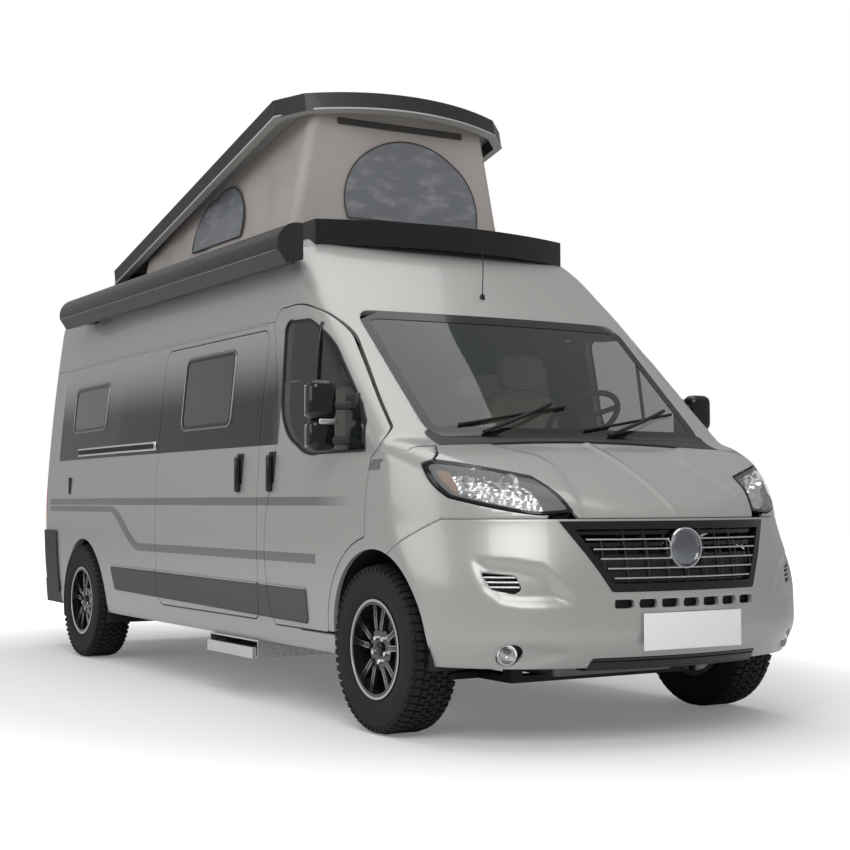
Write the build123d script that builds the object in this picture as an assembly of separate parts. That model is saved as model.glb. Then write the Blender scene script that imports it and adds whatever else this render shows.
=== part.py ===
# Camper van: a long high-roof panel van with a rear-hinged pop-up sleeping roof, in millimetres.
# +Z is up and the van faces -Y. The origin is on the ground, at the middle of the length and width.
# The right side, which has the sliding door, the awning and the step, is at -X.
from build123d import *
import math
import os

# Overall size
wheelbase = 4035
front_overhang = 948
rear_overhang = 1015
half_width = 1024
body_height = 2440

# Wheels and tracks
front_track = 1810
rear_track = 1790
tyre_radius = 372
tyre_width = 225
rim_radius = 222
rim_width = 190

# Wall thicknesses and shut gaps
wall = 60
roof_wall = 50
skin = 22
shut_gap = 8
rebate = 18
seal_gap = 4
seat_gap = 0.3
glass_thickness = 6
overrun = 60

# Cab: lengths along the van, from the nose
cab_length = 2199
roof_rise_length = 500
screen_half_width = 786
screen_bottom_z = 1312
screen_top_z = 1953
firewall_y_from_axle = 150
firewall_thickness = 40
cowl_z = 1235

# Side wall: heights and lengths along the van
sill_z = 318
floor_z = 600
floor_thickness = 45
covering_thickness = 3
covering_edge = 10
roof_seam_z = 1942
rear_taper = 58
taper_start_from_rear_axle = -700
rear_corner_radius = 140
tail_bow = 14

# Cab door: place of its front tip, its size and the striker behind it
door_tip_from_axle = -54
door_length = 1220
door_bottom_z = 412
door_height = 1588
door_flare = 56
striker_share = 0.4
striker_height = 60

# Sliding door and side windows, measured back from the front axle
slide_front_from_axle = 1208
slide_length = 1423
slide_bottom_z = 425
slide_top_z = 1905
slide_corner_radius = 70
window_corner_radius = 55
slide_window = (1598, 2294, 1425, 1832)
rear_window = (3627, 4351, 1490, 1790)
left_window = (1400, 2500, 1425, 1832)

# Rear doors and tail lamps
tail_lamp_inner_x = 925
tail_lamp_depth = 150
tail_lamp_bottom_z = 690
tail_lamp_top_z = 1130
rear_door_half_width = 905
rear_door_bottom_z = 505
rear_door_top_z = 2270
rear_door_split = 5
rear_door_corner_radius = 35
rear_glass_margin = 130
rear_glass_bottom_z = 1380
rear_glass_top_z = 1900

# Bonnet and front lamps
bonnet_rear_from_axle = -219
lamp_depth = 110
bonnet_gap = 6
bonnet_rear_half = 812
bonnet_bend_half = 866
bonnet_bend_from_axle = -328
bonnet_tip_from_axle = -350
stop_half = 25

# Bumpers, grille and intakes
bumper_top_z = 948
bumper_rear_from_nose = 565
grille_top_half = 560
grille_bottom_half = 385
grille_bottom_z = 645
grille_top_z = 938
slot_half = 375
slot_bottom_z = 578
slot_top_z = 615
slot_count = 7
skid_half = 500
skid_top_z = 372
slat_count = 5
slat_height = 16
slat_rib = 10
grille_rib_shares = (-0.75, -0.50, -0.25, 0, 0.25, 0.50, 0.75)
frame_rim = 34
fog_x = 761
fog_z = 389
fog_radius = 46
vent_inner_x = 725
vent_width = 130
vent_bottom_z = 639
vent_height = 91
vent_slat_count = 3
vent_slat_height = 7
rear_bumper_top_z = 480
rear_bumper_length = 430

# Pop-up roof: hinge line, shell and open angle
roof_open_angle = 13.5
shell_hinge_from_tail = 949
shell_hinge_z = 2512
shell_length = 2830
shell_half_width = 742
shell_height = 105
shell_skin = 32
shell_rim = 45
shell_nose_bow = 130
shell_corner = 130
base_front_from_nose = 1849
base_rear_gap = 20
base_half_width = 770
base_height = 62
base_rim = 90
base_bow = 150
tent_front_from_nose = 2459
tent_base_half = 690
tent_top_half = 540
tent_wall = 12
tent_rear_gap = 330

# Awning case
awning_width = 140
awning_height = 205
awning_front_from_nose = 1829
awning_rear_from_nose = 5299
awning_bottom_z = 2200
awning_outer_x = 1062
awning_bracket_length = 120
awning_bracket_height = 60
awning_bracket_shares = (0.06, 0.50, 0.94)

# Step under the sliding door
step_front_from_axle = 1230
step_length = 620
step_case_inset = 20
step_case_height = 90
step_case_width = 420
step_tread_height = 26
step_front_height = 46

# Running gear
knuckle_inset = 60
knuckle_half_height = 110
knuckle_thickness = 56
stub_radius = 30
hub_bore_radius = 30.05
hub_radius = 78
hub_thickness = 22
rim_thickness = 8
rim_face_inset = 14
spoke_pairs = 5
spoke_spread = 13
spoke_window_inner = 92
spoke_window_outer = 196
spoke_width = 24
bead_radius = 205
axle_tube_radius = 38
spring_half_length = 640
spring_x = 560
spring_width = 70
spring_thickness = 26
subframe_half_width = 490
subframe_length = 620
subframe_z = 250
subframe_height = 60
arm_width = 90
engine_half_width = 330
engine_length = 560
engine_height = 560

# Underfloor
rail_x = 430
rail_width = 70
rail_height = 105
tank_length = 900
tank_width = 420
tank_height = 170
exhaust_radius = 30
silencer_radius = 90
silencer_length = 560
wheelhouse_wall = 12
wheelhouse_gap = 25

# Cab and living area
dash_depth = 400
dash_height = 400
dash_shelf = 260
dash_top_z = 1325
dash_end_half = 838
dash_end_drop = 42
wheel_centre_x = 400
wheel_centre_from_axle = 350
wheel_centre_z = 1440
wheel_ring_radius = 190
wheel_ring_section = 15
column_radius = 24
column_tilt = 40
column_length = 220
seat_x = 480
seat_width = 480
seat_depth = 480
seat_from_axle = 640
seat_base_height = 270
cushion_thickness = 130
back_thickness = 120
back_height = 620
head_width = 260
head_height = 210
kitchen_clearance = 62
kitchen_depth = 420
kitchen_length = 1300
kitchen_height = 820
kitchen_from_axle = 2250
bed_from_axle = 3650
bed_height = 600
bed_top = 90
bench_from_axle = 1350
bench_length = 520
bench_width = 900
bench_height = 420

# Mirrors
mirror_outer_x = 1185
mirror_width = 140
mirror_depth = 125
mirror_bottom_z = 1245
mirror_height = 335
mirror_front_from_axle = 255
mirror_arm_height = 46
mirror_arm_foot_from_axle = 15
mirror_corner = 34

# Wheel arches
front_arch_radius = 414
front_arch_shift = -14
front_arch_z = 399
rear_arch_radius = 437
rear_arch_shift = -22
rear_arch_z = 343

# Lengths that follow from these
length = front_overhang + wheelbase + rear_overhang
nose_y = -length / 2
tail_y = length / 2
front_axle_y = nose_y + front_overhang
rear_axle_y = front_axle_y + wheelbase
firewall_y = front_axle_y + firewall_y_from_axle
cap_end_y = nose_y + cab_length
section_back_y = cap_end_y + roof_rise_length
door_tip_y = front_axle_y + door_tip_from_axle
front_arch_y = front_axle_y + front_arch_shift
rear_arch_y = rear_axle_y + rear_arch_shift
wide = half_width + overrun
high = body_height + overrun

# Half cross-section, columns: share of the half width, share of the body height
section_shares = {
    "sill": (0.962, 0.130),
    "side": (1.000, 0.328),
    "belt": (0.994, 0.471),
    "window": (0.962, 0.639),
    "shoulder": (0.884, 0.914),
    "gutter": (0.830, 0.957),
    "roof_edge": (0.723, 0.9775),
}

# Bonnet's centre line, columns: share of the cab length from the nose, share of the body height
bonnet_shares = {
    "front": (0.0246, 0.3914),
    "middle": (0.1814, 0.4754),
    "rear": (0.3361, 0.5287),
}
bonnet_bow_radius = 5500

# Cab door, columns: share of the door's length from its front tip, share of its height
door_shares = {
    "rear_foot": (0.893, 0.000),
    "rear_bulge": (0.957, 0.181),
    "rear_belt": (0.873, 0.484),
    "rear_upper": (0.906, 0.723),
    "rear_top": (1.000, 0.956),
    "top_corner": (0.967, 0.991),
    "top": (0.898, 1.000),
    "top_middle": (0.717, 0.995),
    "pillar_top": (0.571, 0.959),
    "pillar_bend": (0.471, 0.911),
    "pillar": (0.389, 0.857),
    "pillar_foot": (0.139, 0.673),
    "tip_top": (0.025, 0.591),
    "tip": (0.000, 0.537),
    "tip_foot": (0.062, 0.506),
    "front": (0.088, 0.408),
    "flare": (0.093, 0.300),
}

# Window of the cab door, in the same columns
door_window_shares = {
    "front_foot": (0.105, 0.528),
    "front": (0.125, 0.610),
    "pillar_foot": (0.184, 0.665),
    "pillar": (0.381, 0.806),
    "pillar_bend": (0.512, 0.889),
    "pillar_top": (0.668, 0.945),
    "top": (0.816, 0.950),
    "top_corner": (0.868, 0.942),
    "rear_top": (0.876, 0.912),
    "rear": (0.852, 0.723),
    "rear_bend": (0.815, 0.632),
    "rear_low": (0.684, 0.559),
    "foot_bend": (0.602, 0.533),
    "foot": (0.480, 0.528),
}

# Headlamp in the front view, columns: share of its width from the inner tip, share of its height
lamp_inner_x = 491
lamp_width = 456
lamp_bottom_z = 964
lamp_height = 236
lamp_shares = {
    "inner": (0.000, 0.045),
    "brow_rise": (0.065, 0.350),
    "brow": (0.160, 0.700),
    "brow_middle": (0.500, 0.845),
    "tip_top": (0.920, 1.000),
    "tip": (1.000, 0.940),
    "side": (0.985, 0.620),
    "side_foot": (0.900, 0.310),
    "foot": (0.550, 0.085),
    "inner_foot": (0.285, 0.000),
}

# Vent at each end of the bumper in the front view, columns: share of its width, share of its height
vent_shares = {
    "top_outer": (1.000, 1.000),
    "top_inner": (0.131, 0.857),
    "side": (0.000, 0.209),
    "foot_inner": (0.208, 0.000),
    "foot_outer": (0.769, 0.209),
}

# Bonnet's side seam and rear edge in the front view, half-width and height
bonnet_seam_x = 765
bonnet_seam_z = 1312

# Plan outlines of the nose, columns: height share of the body height, setback from the nose point,
# radius of the front bow, radius of the corner, share of the half width
nose_rows = (
    (0.115, 110, 1790, 660, 0.985),
    (0.200, 0, 1790, 700, 1.012),
    (0.262, 0, 1700, 710, 1.014),
    (0.390, 52, 1300, 800, 1.010),
    (0.540, 160, 1300, 800, 1.004),
)

# Plan outlines from the windscreen's foot to the roof, in the same columns
cab_rows = (
    (0.500, 660, 4000, 190, 0.997),
    (0.529, 739, 4200, 190, 0.989),
    (0.674, 1140, 4600, 190, 0.958),
    (0.820, 1549, 6000, 180, 0.922),
    (0.875, 1690, 5000, 190, 0.905),
    (0.930, 1830, 4500, 210, 0.880),
    (0.975, 1980, 4000, 230, 0.840),
    (0.994, 2100, 4000, 250, 0.800),
    (1.020, 2199, 4000, 260, 0.760),
)


def outline(*steps):
    """A closed face from points; a step of two points is an arc through the first to the second."""
    edges = []
    here = steps[0]
    for step in steps[1:]:
        if isinstance(step[0], tuple):
            edges.append(ThreePointArc(here, step[0], step[1]))
            here = step[1]
        else:
            edges.append(Line(here, step))
            here = step
    if math.dist(here, steps[0]) > seat_gap:
        edges.append(Line(here, steps[0]))
    return make_face(Wire(edges))


def side_prism(face, x_from, x_to):
    """Extrudes an outline drawn in the side view, as (y, z), from one x to another."""
    plane = Plane(origin=(x_from, 0, 0), x_dir=(0, 1, 0), z_dir=(1, 0, 0))
    return extrude(plane * face, amount=x_to - x_from)


def front_prism(face, y_from, y_to):
    """Extrudes an outline drawn in the front view, as (x, z), from one y to another."""
    plane = Plane(origin=(0, y_from, 0), x_dir=(1, 0, 0), z_dir=(0, -1, 0))
    return extrude(plane * face, amount=y_from - y_to)


def plan_prism(face, z_from, z_to):
    """Extrudes an outline drawn from above, as (x, y), from one z to another."""
    return extrude(Pos(0, 0, z_from) * face, amount=z_to - z_from)


def block(x_from, x_to, y_from, y_to, z_from, z_to):
    """A box between two corners."""
    size = (x_to - x_from, y_to - y_from, z_to - z_from)
    middle = ((x_from + x_to) / 2, (y_from + y_to) / 2, (z_from + z_to) / 2)
    return Pos(*middle) * Box(*size)


def rounded(u_from, u_to, v_from, v_to, radius):
    """A rounded rectangle between two corners of a view."""
    middle = ((u_from + u_to) / 2, (v_from + v_to) / 2)
    return Pos(*middle) * RectangleRounded(u_to - u_from, v_to - v_from, radius)


def both_sides(shape):
    """The shape and its mirror image on the other side of the van."""
    return Compound(children=[*shape.solids(), *mirror(shape, about=Plane.YZ).solids()])


def write(name, shape):
    """Writes one node."""
    solids = shape.solids()
    whole = solids[0] if len(solids) == 1 else Compound(children=list(solids))
    export_step(whole, f"parts/{name}.step")
    print(name, len(solids))


def section_face(inset, narrowing):
    """The body's cross-section, narrowed a little towards the tail."""
    row = {}
    for name, (width_share, height_share) in section_shares.items():
        row[name] = (width_share * half_width - inset - narrowing, height_share * body_height)
    roof_drop = inset * roof_wall / wall
    for name in ("gutter", "roof_edge"):
        row[name] = (row[name][0], row[name][1] - roof_drop)
    row["sill"] = (row["sill"][0], sill_z - inset)
    left = {name: (-x, z) for name, (x, z) in row.items()}
    return outline(
        row["sill"],
        (row["side"], row["belt"]),
        (row["window"], row["shoulder"]),
        (row["gutter"], row["roof_edge"]),
        ((0, body_height - roof_drop), left["roof_edge"]),
        (left["gutter"], left["shoulder"]),
        (left["window"], left["belt"]),
        (left["side"], left["sill"]),
    )


def tube(inset):
    """The body along its whole length, before the front is shaped."""
    taper_y = rear_axle_y + taper_start_from_rear_axle
    end_y = tail_y - inset
    straight = front_prism(section_face(inset, 0), nose_y - overrun, taper_y)
    plane_a = Plane(origin=(0, taper_y, 0), x_dir=(1, 0, 0), z_dir=(0, -1, 0))
    plane_b = Plane(origin=(0, end_y, 0), x_dir=(1, 0, 0), z_dir=(0, -1, 0))
    narrowing = rear_taper * (end_y - taper_y) / (tail_y - taper_y)
    back = loft([plane_a * section_face(inset, 0), plane_b * section_face(inset, narrowing)], ruled=True)
    return straight + back


def nose_section(z, front, bow, corner, half):
    """The nose's plan outline: a bowed front, two round corners and straight sides."""
    bow_y = front + bow
    corner_x = half - corner
    corner_y = bow_y - math.sqrt((bow - corner) ** 2 - corner_x ** 2)
    reach = bow / (bow - corner)
    join = (corner_x * reach, bow_y + (corner_y - bow_y) * reach)
    lean = math.atan2(join[1] - corner_y, join[0] - corner_x) / 2
    via = (corner_x + corner * math.cos(lean), corner_y + corner * math.sin(lean))
    face = outline(
        (half, section_back_y),
        (half, corner_y),
        (via, join),
        ((0, front), (-join[0], join[1])),
        ((-via[0], via[1]), (-half, corner_y)),
        (-half, section_back_y),
    )
    return Pos(0, 0, z) * face


def rows_loft(rows, inset):
    """The front of the body between the plan outlines of a table."""
    faces = []
    for height_share, setback, bow, corner, width_share in rows:
        half = width_share * half_width - inset
        front = nose_y + setback + inset
        faces.append(nose_section(height_share * body_height, front, bow - inset, corner - inset, half))
    return loft(faces, ruled=True)


def bonnet_cut(inset):
    """All that lies under the bonnet's line, bowed a little across the van."""
    row = {}
    for name, (y_share, z_share) in bonnet_shares.items():
        row[name] = (nose_y + y_share * cab_length, z_share * body_height - inset)
    low = sill_z - overrun - inset
    back = cap_end_y + overrun
    face = outline(
        (back, low),
        (nose_y - overrun, low),
        (nose_y - overrun, row["front"][1] - overrun / 2),
        row["front"],
        (row["middle"], row["rear"]),
        (back, row["rear"][1]),
    )
    axis_y = row["rear"][0] + bonnet_bow_radius
    swing = math.degrees(math.asin((half_width + overrun) / (axis_y - cap_end_y)))
    plane = Plane(origin=(0, 0, 0), x_dir=(0, 1, 0), z_dir=(1, 0, 0))
    axis = Axis((0, axis_y, 0), (0, 0, 1))
    solid = revolve(plane * face, axis=axis, revolution_arc=2 * swing)
    return solid.rotate(axis, -swing)


def tail_plan(inset):
    """The tail's plan outline with its two round corners."""
    radius = rear_corner_radius - inset
    half = half_width - rear_taper - inset
    end_y = tail_y - inset
    diagonal = radius * math.sqrt(1 / 2)
    corner = (half - radius + diagonal, end_y - radius + diagonal)
    return outline(
        (half + wide, nose_y - wide),
        (half + wide, end_y - wide),
        (half, end_y - radius),
        (corner, (half - radius, end_y - tail_bow)),
        ((0, end_y), (radius - half, end_y - tail_bow)),
        ((-corner[0], corner[1]), (-half, end_y - radius)),
        (-half - wide, end_y - wide),
        (-half - wide, nose_y - wide),
    )


def hull(inset):
    """The whole body's outer form, set in by a wall."""
    wide = half_width + overrun
    low = sill_z - 2 * overrun
    behind = plan_prism(tail_plan(inset), low, body_height + overrun)
    behind &= block(-wide, wide, cap_end_y, tail_y + overrun, low, body_height + overrun)
    forward = bonnet_cut(inset) & rows_loft(nose_rows, inset)
    return tube(inset) & (forward + rows_loft(cab_rows, inset) + behind)


def on_side(shares, y_from, y_size, z_from, z_size):
    """Places a table of shares in the side view."""
    return {name: (y_from + y * y_size, z_from + z * z_size) for name, (y, z) in shares.items()}


def door_face():
    """The cab door's outline in the side view, round the front wheel arch."""
    p = on_side(door_shares, door_tip_y, door_length, door_bottom_z, door_height)
    reach = front_arch_radius + door_flare
    top_y = p["flare"][0]
    top_z = front_arch_z + math.sqrt(reach**2 - (top_y - front_arch_y) ** 2)
    foot_y = front_arch_y + math.sqrt(reach**2 - (door_bottom_z - front_arch_z) ** 2)
    middle = (math.atan2(top_z - front_arch_z, top_y - front_arch_y)) / 2
    via = (front_arch_y + reach * math.cos(middle), front_arch_z + reach * math.sin(middle))
    return outline(
        p["rear_foot"],
        (p["rear_bulge"], p["rear_belt"]),
        (p["rear_upper"], p["rear_top"]),
        (p["top_corner"], p["top"]),
        (p["top_middle"], p["pillar_top"]),
        (p["pillar_bend"], p["pillar"]),
        p["pillar_foot"],
        p["tip_top"],
        p["tip"],
        p["tip_foot"],
        p["front"],
        (top_y, top_z),
        (via, (foot_y, door_bottom_z)),
    )


def door_window_face():
    """The cab door's window in the side view."""
    p = on_side(door_window_shares, door_tip_y, door_length, door_bottom_z, door_height)
    return outline(
        p["front_foot"],
        p["front"],
        p["pillar_foot"],
        p["pillar"],
        (p["pillar_bend"], p["pillar_top"]),
        p["top"],
        (p["top_corner"], p["rear_top"]),
        p["rear"],
        (p["rear_bend"], p["rear_low"]),
        (p["foot_bend"], p["foot"]),
    )


def grown(face, margin):
    """The face with its edge moved outwards, or inwards where the margin is negative."""
    return offset(face, amount=margin, kind=Kind.INTERSECTION if margin > 0 else Kind.ARC)


def window_face(row):
    """A side window's rounded outline."""
    start, end, low, top = row
    return rounded(front_axle_y + start, front_axle_y + end, low, top, window_corner_radius)


def slide_face():
    """The sliding door's outline."""
    start = front_axle_y + slide_front_from_axle
    return rounded(start, start + slide_length, slide_bottom_z, slide_top_z, slide_corner_radius)


def right_prism(face):
    """Cuts through the right side only."""
    return side_prism(face, -wide, -wide / 2)


def left_prism(face):
    """Cuts through the left side only."""
    return side_prism(face, wide / 2, wide)


os.makedirs("parts", exist_ok=True)

# The body's forms: outside, behind the outer skin and inside
outer = hull(0)
behind_skin = hull(skin)
inner = hull(wall)
walls = outer - inner
outer_skin = outer - behind_skin
inner_layer = behind_skin - inner
glass_in = hull(glass_thickness * 2)
glass_out = hull(glass_thickness)

# Regions of the body
front_arch = side_prism(Pos(front_arch_y, front_arch_z) * Circle(front_arch_radius), -wide, wide)
front_arch += block(
    -wide, wide, front_arch_y - front_arch_radius, front_arch_y + front_arch_radius, 0, front_arch_z
)
rear_arch = side_prism(Pos(rear_arch_y, rear_arch_z) * Circle(rear_arch_radius), -wide, wide)
door_outline = door_face()
door_hole = right_prism(grown(door_outline, shut_gap))
door_zone = right_prism(door_outline)
door_inner_zone = right_prism(grown(door_outline, -rebate))
door_window_zone = right_prism(door_window_face())

# Cab doors, with a stepped edge as on pressed doors
cab_door = (outer_skin & door_zone) + (inner_layer & door_inner_zone)
cab_door -= door_window_zone
write("cab_door_right", cab_door)
write("cab_door_left", mirror(cab_door, about=Plane.YZ))
cab_glass = (glass_out - glass_in) & right_prism(grown(door_window_face(), -seat_gap))
write("cab_glass_right", cab_glass)
write("cab_glass_left", mirror(cab_glass, about=Plane.YZ))


# Side walls with the sliding door and the windows
slide_outline = slide_face()
slide_hole = right_prism(grown(slide_outline, shut_gap))
slide_window_zone = right_prism(window_face(slide_window))
rear_window_zone = right_prism(window_face(rear_window))
left_window_zone = left_prism(window_face(left_window))
left_rear_window_zone = left_prism(window_face(rear_window))
sliding_door = outer_skin & right_prism(slide_outline)
sliding_door += inner_layer & right_prism(grown(slide_outline, -rebate))
sliding_door -= slide_window_zone
write("sliding_door", sliding_door)
rear_door_hole = front_prism(
    rounded(
        -rear_door_half_width - shut_gap, rear_door_half_width + shut_gap,
        rear_door_bottom_z - shut_gap, rear_door_top_z + shut_gap, rear_door_corner_radius + shut_gap,
    ),
    tail_y - wall * 2, tail_y + overrun,
)
rear_bumper_y = tail_y - rear_bumper_length
bumper_zone = block(-wide, wide, rear_bumper_y, tail_y + overrun, 0, rear_bumper_top_z)
door_middle_y = door_tip_y + door_length * 2 / 3
side_inner_x = rear_door_half_width * 3 / 4
sill_top_z = door_bottom_z - shut_gap
side_zone = block(-wide, -side_inner_x, door_middle_y, tail_y + overrun, 0, roof_seam_z)
side_zone += block(-wide, -side_inner_x, door_tip_y, door_middle_y, 0, sill_top_z)
wall_right = walls & side_zone
wall_right -= door_hole
wall_right -= rear_door_hole
wall_right = wall_right - rear_arch - front_arch
wall_right -= bumper_zone
tail_lamp_hole, tail_lamp_zone = (
    block(
        -wide, -tail_lamp_inner_x - shrink, tail_y - tail_lamp_depth + shrink, tail_y + overrun,
        tail_lamp_bottom_z + shrink, tail_lamp_top_z - shrink,
    )
    for shrink in (0, seat_gap)
)
wall_right -= tail_lamp_hole & outer_skin
striker = outer_skin & right_prism(grown(door_outline, shut_gap * 2) - grown(door_outline, seat_gap))
striker_z = door_bottom_z + door_height * striker_share
wall_right += striker & block(-wide, -side_inner_x, door_middle_y, 0, striker_z, striker_z + striker_height)
wall_left = mirror(wall_right, about=Plane.YZ)
slide_seat = right_prism(grown(slide_outline, seal_gap - rebate))
wall_right = wall_right - (slide_hole & outer_skin) - slide_seat - rear_window_zone
wall_left = wall_left - left_window_zone - left_rear_window_zone
write("side_wall_right", wall_right)
write("side_wall_left", wall_left)
glass_layer = glass_out - glass_in
panes = [
    glass_layer & side(grown(window_face(row), -seat_gap))
    for side, row in (
        (right_prism, slide_window),
        (right_prism, rear_window),
        (left_prism, left_window),
        (left_prism, rear_window),
    )
]
write("side_windows", Compound(children=[s for pane in panes for s in pane.solids()]))

# Roof from the cab's rear edge to the tail, with the hatch under the tent
door_hole_left = mirror(door_hole, about=Plane.YZ)
hatch_front_y = nose_y + tent_front_from_nose + tent_wall
hatch_rear_y = hatch_front_y + shell_length / 2
hatch = block(-tent_top_half, tent_top_half, hatch_front_y, hatch_rear_y, roof_seam_z, high)
roof = walls & block(-wide, wide, cap_end_y, tail_y + overrun, roof_seam_z, high)
roof = roof - rear_door_hole - door_hole - door_hole_left - hatch
write("roof", roof)

# Front frame: windscreen surround, A-pillars, front roof and bulkhead
screen_outline = rounded(
    -screen_half_width, screen_half_width, screen_bottom_z, screen_top_z, slide_corner_radius
)
screen_zone = front_prism(screen_outline, nose_y, cap_end_y - overrun)
lamp = {
    name: (lamp_inner_x + x * lamp_width, lamp_bottom_z + z * lamp_height)
    for name, (x, z) in lamp_shares.items()
}
lamp_outline = outline(
    lamp["inner"],
    (lamp["brow_rise"], lamp["brow"]),
    (lamp["brow_middle"], lamp["tip_top"]),
    lamp["tip"],
    (lamp["side"], lamp["side_foot"]),
    (lamp["foot"], lamp["inner_foot"]),
)
bonnet_half = outline(
    (0, bumper_top_z),
    (lamp["inner"][0], bumper_top_z),
    lamp["inner"],
    (lamp["brow_rise"], lamp["brow"]),
    (lamp["brow_middle"], lamp["tip_top"]),
    (bonnet_seam_x, bonnet_seam_z),
    (bonnet_seam_x, high),
    (0, high),
)
bonnet_rear_y = front_axle_y + bonnet_rear_from_axle
bonnet_face = bonnet_half + mirror(bonnet_half, about=Plane.YZ)
bonnet_zone = front_prism(bonnet_face, nose_y - overrun, bonnet_rear_y)
bonnet_fit = front_prism(grown(bonnet_face, -bonnet_gap), nose_y - overrun, bonnet_rear_y)
lamp_zone = front_prism(lamp_outline, nose_y - overrun, front_axle_y)
lamp_zones = lamp_zone + mirror(lamp_zone, about=Plane.YZ)
cab_zone = block(-wide, wide, front_axle_y + bonnet_rear_from_axle + shut_gap, cap_end_y, cowl_z, high)
frame = walls & cab_zone
frame = frame - door_hole - door_hole_left - screen_zone - side_zone - mirror(side_zone, about=Plane.YZ)
write("front_frame", frame)
screen_fit = front_prism(grown(screen_outline, -seat_gap), nose_y, cap_end_y - overrun)
write("windscreen", glass_layer & screen_fit)

# Bonnet
lamp_clear = front_prism(grown(lamp_outline, bonnet_gap), nose_y - overrun, front_axle_y)
bonnet = (walls & bonnet_fit) - lamp_clear - mirror(lamp_clear, about=Plane.YZ)
bonnet_tip_y = front_axle_y + bonnet_tip_from_axle
bonnet_side = outline(
    (lamp["tip_top"][0] - bonnet_gap, bonnet_tip_y),
    (bonnet_bend_half, front_axle_y + bonnet_bend_from_axle),
    (bonnet_rear_half, bonnet_rear_y),
    (wide, bonnet_rear_y),
    (wide, bonnet_tip_y),
)
under_wing = plan_prism(bonnet_side, 0, high)
bonnet = bonnet - under_wing - mirror(under_wing, about=Plane.YZ)
write("bonnet", bonnet)


# Front bumper, grille, intakes and headlamps
bumper_seam = outline(
    (front_arch_y, 0),
    (front_arch_y, front_arch_z + front_arch_radius * 4 / 5),
    (nose_y + bumper_rear_from_nose - door_flare, bumper_top_z),
    (nose_y - overrun, bumper_top_z),
    (nose_y - overrun, 0),
)
bumper_band = side_prism(bumper_seam, -wide, wide)
grille_outline = outline(
    (-grille_bottom_half, grille_bottom_z),
    (grille_bottom_half, grille_bottom_z),
    (grille_top_half, grille_top_z),
    (-grille_top_half, grille_top_z),
)
grille_zone = front_prism(grille_outline, nose_y - overrun, front_axle_y)
slot_width = 2 * slot_half / (slot_count + (slot_count - 1) / 4)
slots = []
for index in range(slot_count):
    start = -slot_half + index * slot_width * 5 / 4
    slots.append(block(start, start + slot_width, nose_y - overrun, front_axle_y, slot_bottom_z, slot_top_z))
skid_outline = outline(
    (-skid_half, 0),
    (skid_half, 0),
    (skid_half - door_flare, skid_top_z),
    (-skid_half + door_flare, skid_top_z),
)
skid_zone = front_prism(skid_outline, nose_y - overrun, front_axle_y)
bumper = walls & bumper_band
bumper = bumper - front_arch - grille_zone - skid_zone - lamp_zones
for slot in slots:
    bumper -= slot
vent = {
    name: (vent_inner_x + x * vent_width, vent_bottom_z + z * vent_height)
    for name, (x, z) in vent_shares.items()
}
vent_outline = outline(*vent.values())
pockets = outer_skin & front_prism(vent_outline, nose_y - overrun, front_arch_y)
vent_pitch = vent_height / (vent_slat_count + 1)
for index in range(vent_slat_count):
    slat_z = vent_bottom_z + (index + 1) * vent_pitch - vent_slat_height / 2
    pockets -= block(0, wide, nose_y - overrun, front_arch_y, slat_z, slat_z + vent_slat_height)
fog_zone = front_prism(Pos(fog_x, fog_z) * Circle(fog_radius), nose_y - overrun, front_arch_y)
pockets += outer_skin & fog_zone
bumper = bumper - pockets - mirror(pockets, about=Plane.YZ)
for side in (-1, 1):
    stop_x = side * grille_bottom_half
    stop = block(
        stop_x - stop_half, stop_x + stop_half, nose_y, front_axle_y,
        (bumper_top_z + grille_top_z) / 2, bumper_top_z + bonnet_gap - seat_gap,
    )
    bumper += walls & stop
write("front_bumper", bumper)

grille_frame_in = front_prism(grown(grille_outline, -frame_rim), nose_y - overrun, front_axle_y)
grille_fit = front_prism(grown(grille_outline, -seat_gap), nose_y - overrun, front_axle_y)
grille = (walls & grille_fit) - grille_frame_in
slat_pitch = (grille_top_z - grille_bottom_z) / (slat_count + 1)
slat_layer = inner_layer & grille_frame_in
for index in range(slat_count):
    middle = grille_bottom_z + (index + 1) * slat_pitch
    grille += slat_layer & block(
        -wide, wide, nose_y - overrun, front_axle_y, middle - slat_height / 2, middle + slat_height / 2
    )
for share in grille_rib_shares:
    rib_x = share * grille_bottom_half
    grille += slat_layer & block(
        rib_x - slat_rib / 2, rib_x + slat_rib / 2, nose_y - overrun, front_axle_y,
        grille_bottom_z, grille_top_z,
    )
skid = (walls & front_prism(grown(skid_outline, -seat_gap), nose_y - overrun, front_axle_y)) & bumper_band
grilles = [*grille.solids(), *skid.solids()]
write("grille", Compound(children=grilles))

lamp_fit = front_prism(grown(lamp_outline, -seat_gap), nose_y - overrun, front_axle_y)
lamp_deep = hull(lamp_depth)
headlamp = mirror((outer - lamp_deep) & lamp_fit, about=Plane.YZ)
write("headlamps", both_sides(headlamp))

# Front wings
wing = walls & block(-wide, -lamp_inner_x, nose_y, door_middle_y, sill_top_z + seat_gap, high)
wing = wing - cab_zone - door_hole - bonnet_zone - bumper_band - front_arch - lamp_zones
write("front_wings", both_sides(wing))

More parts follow.
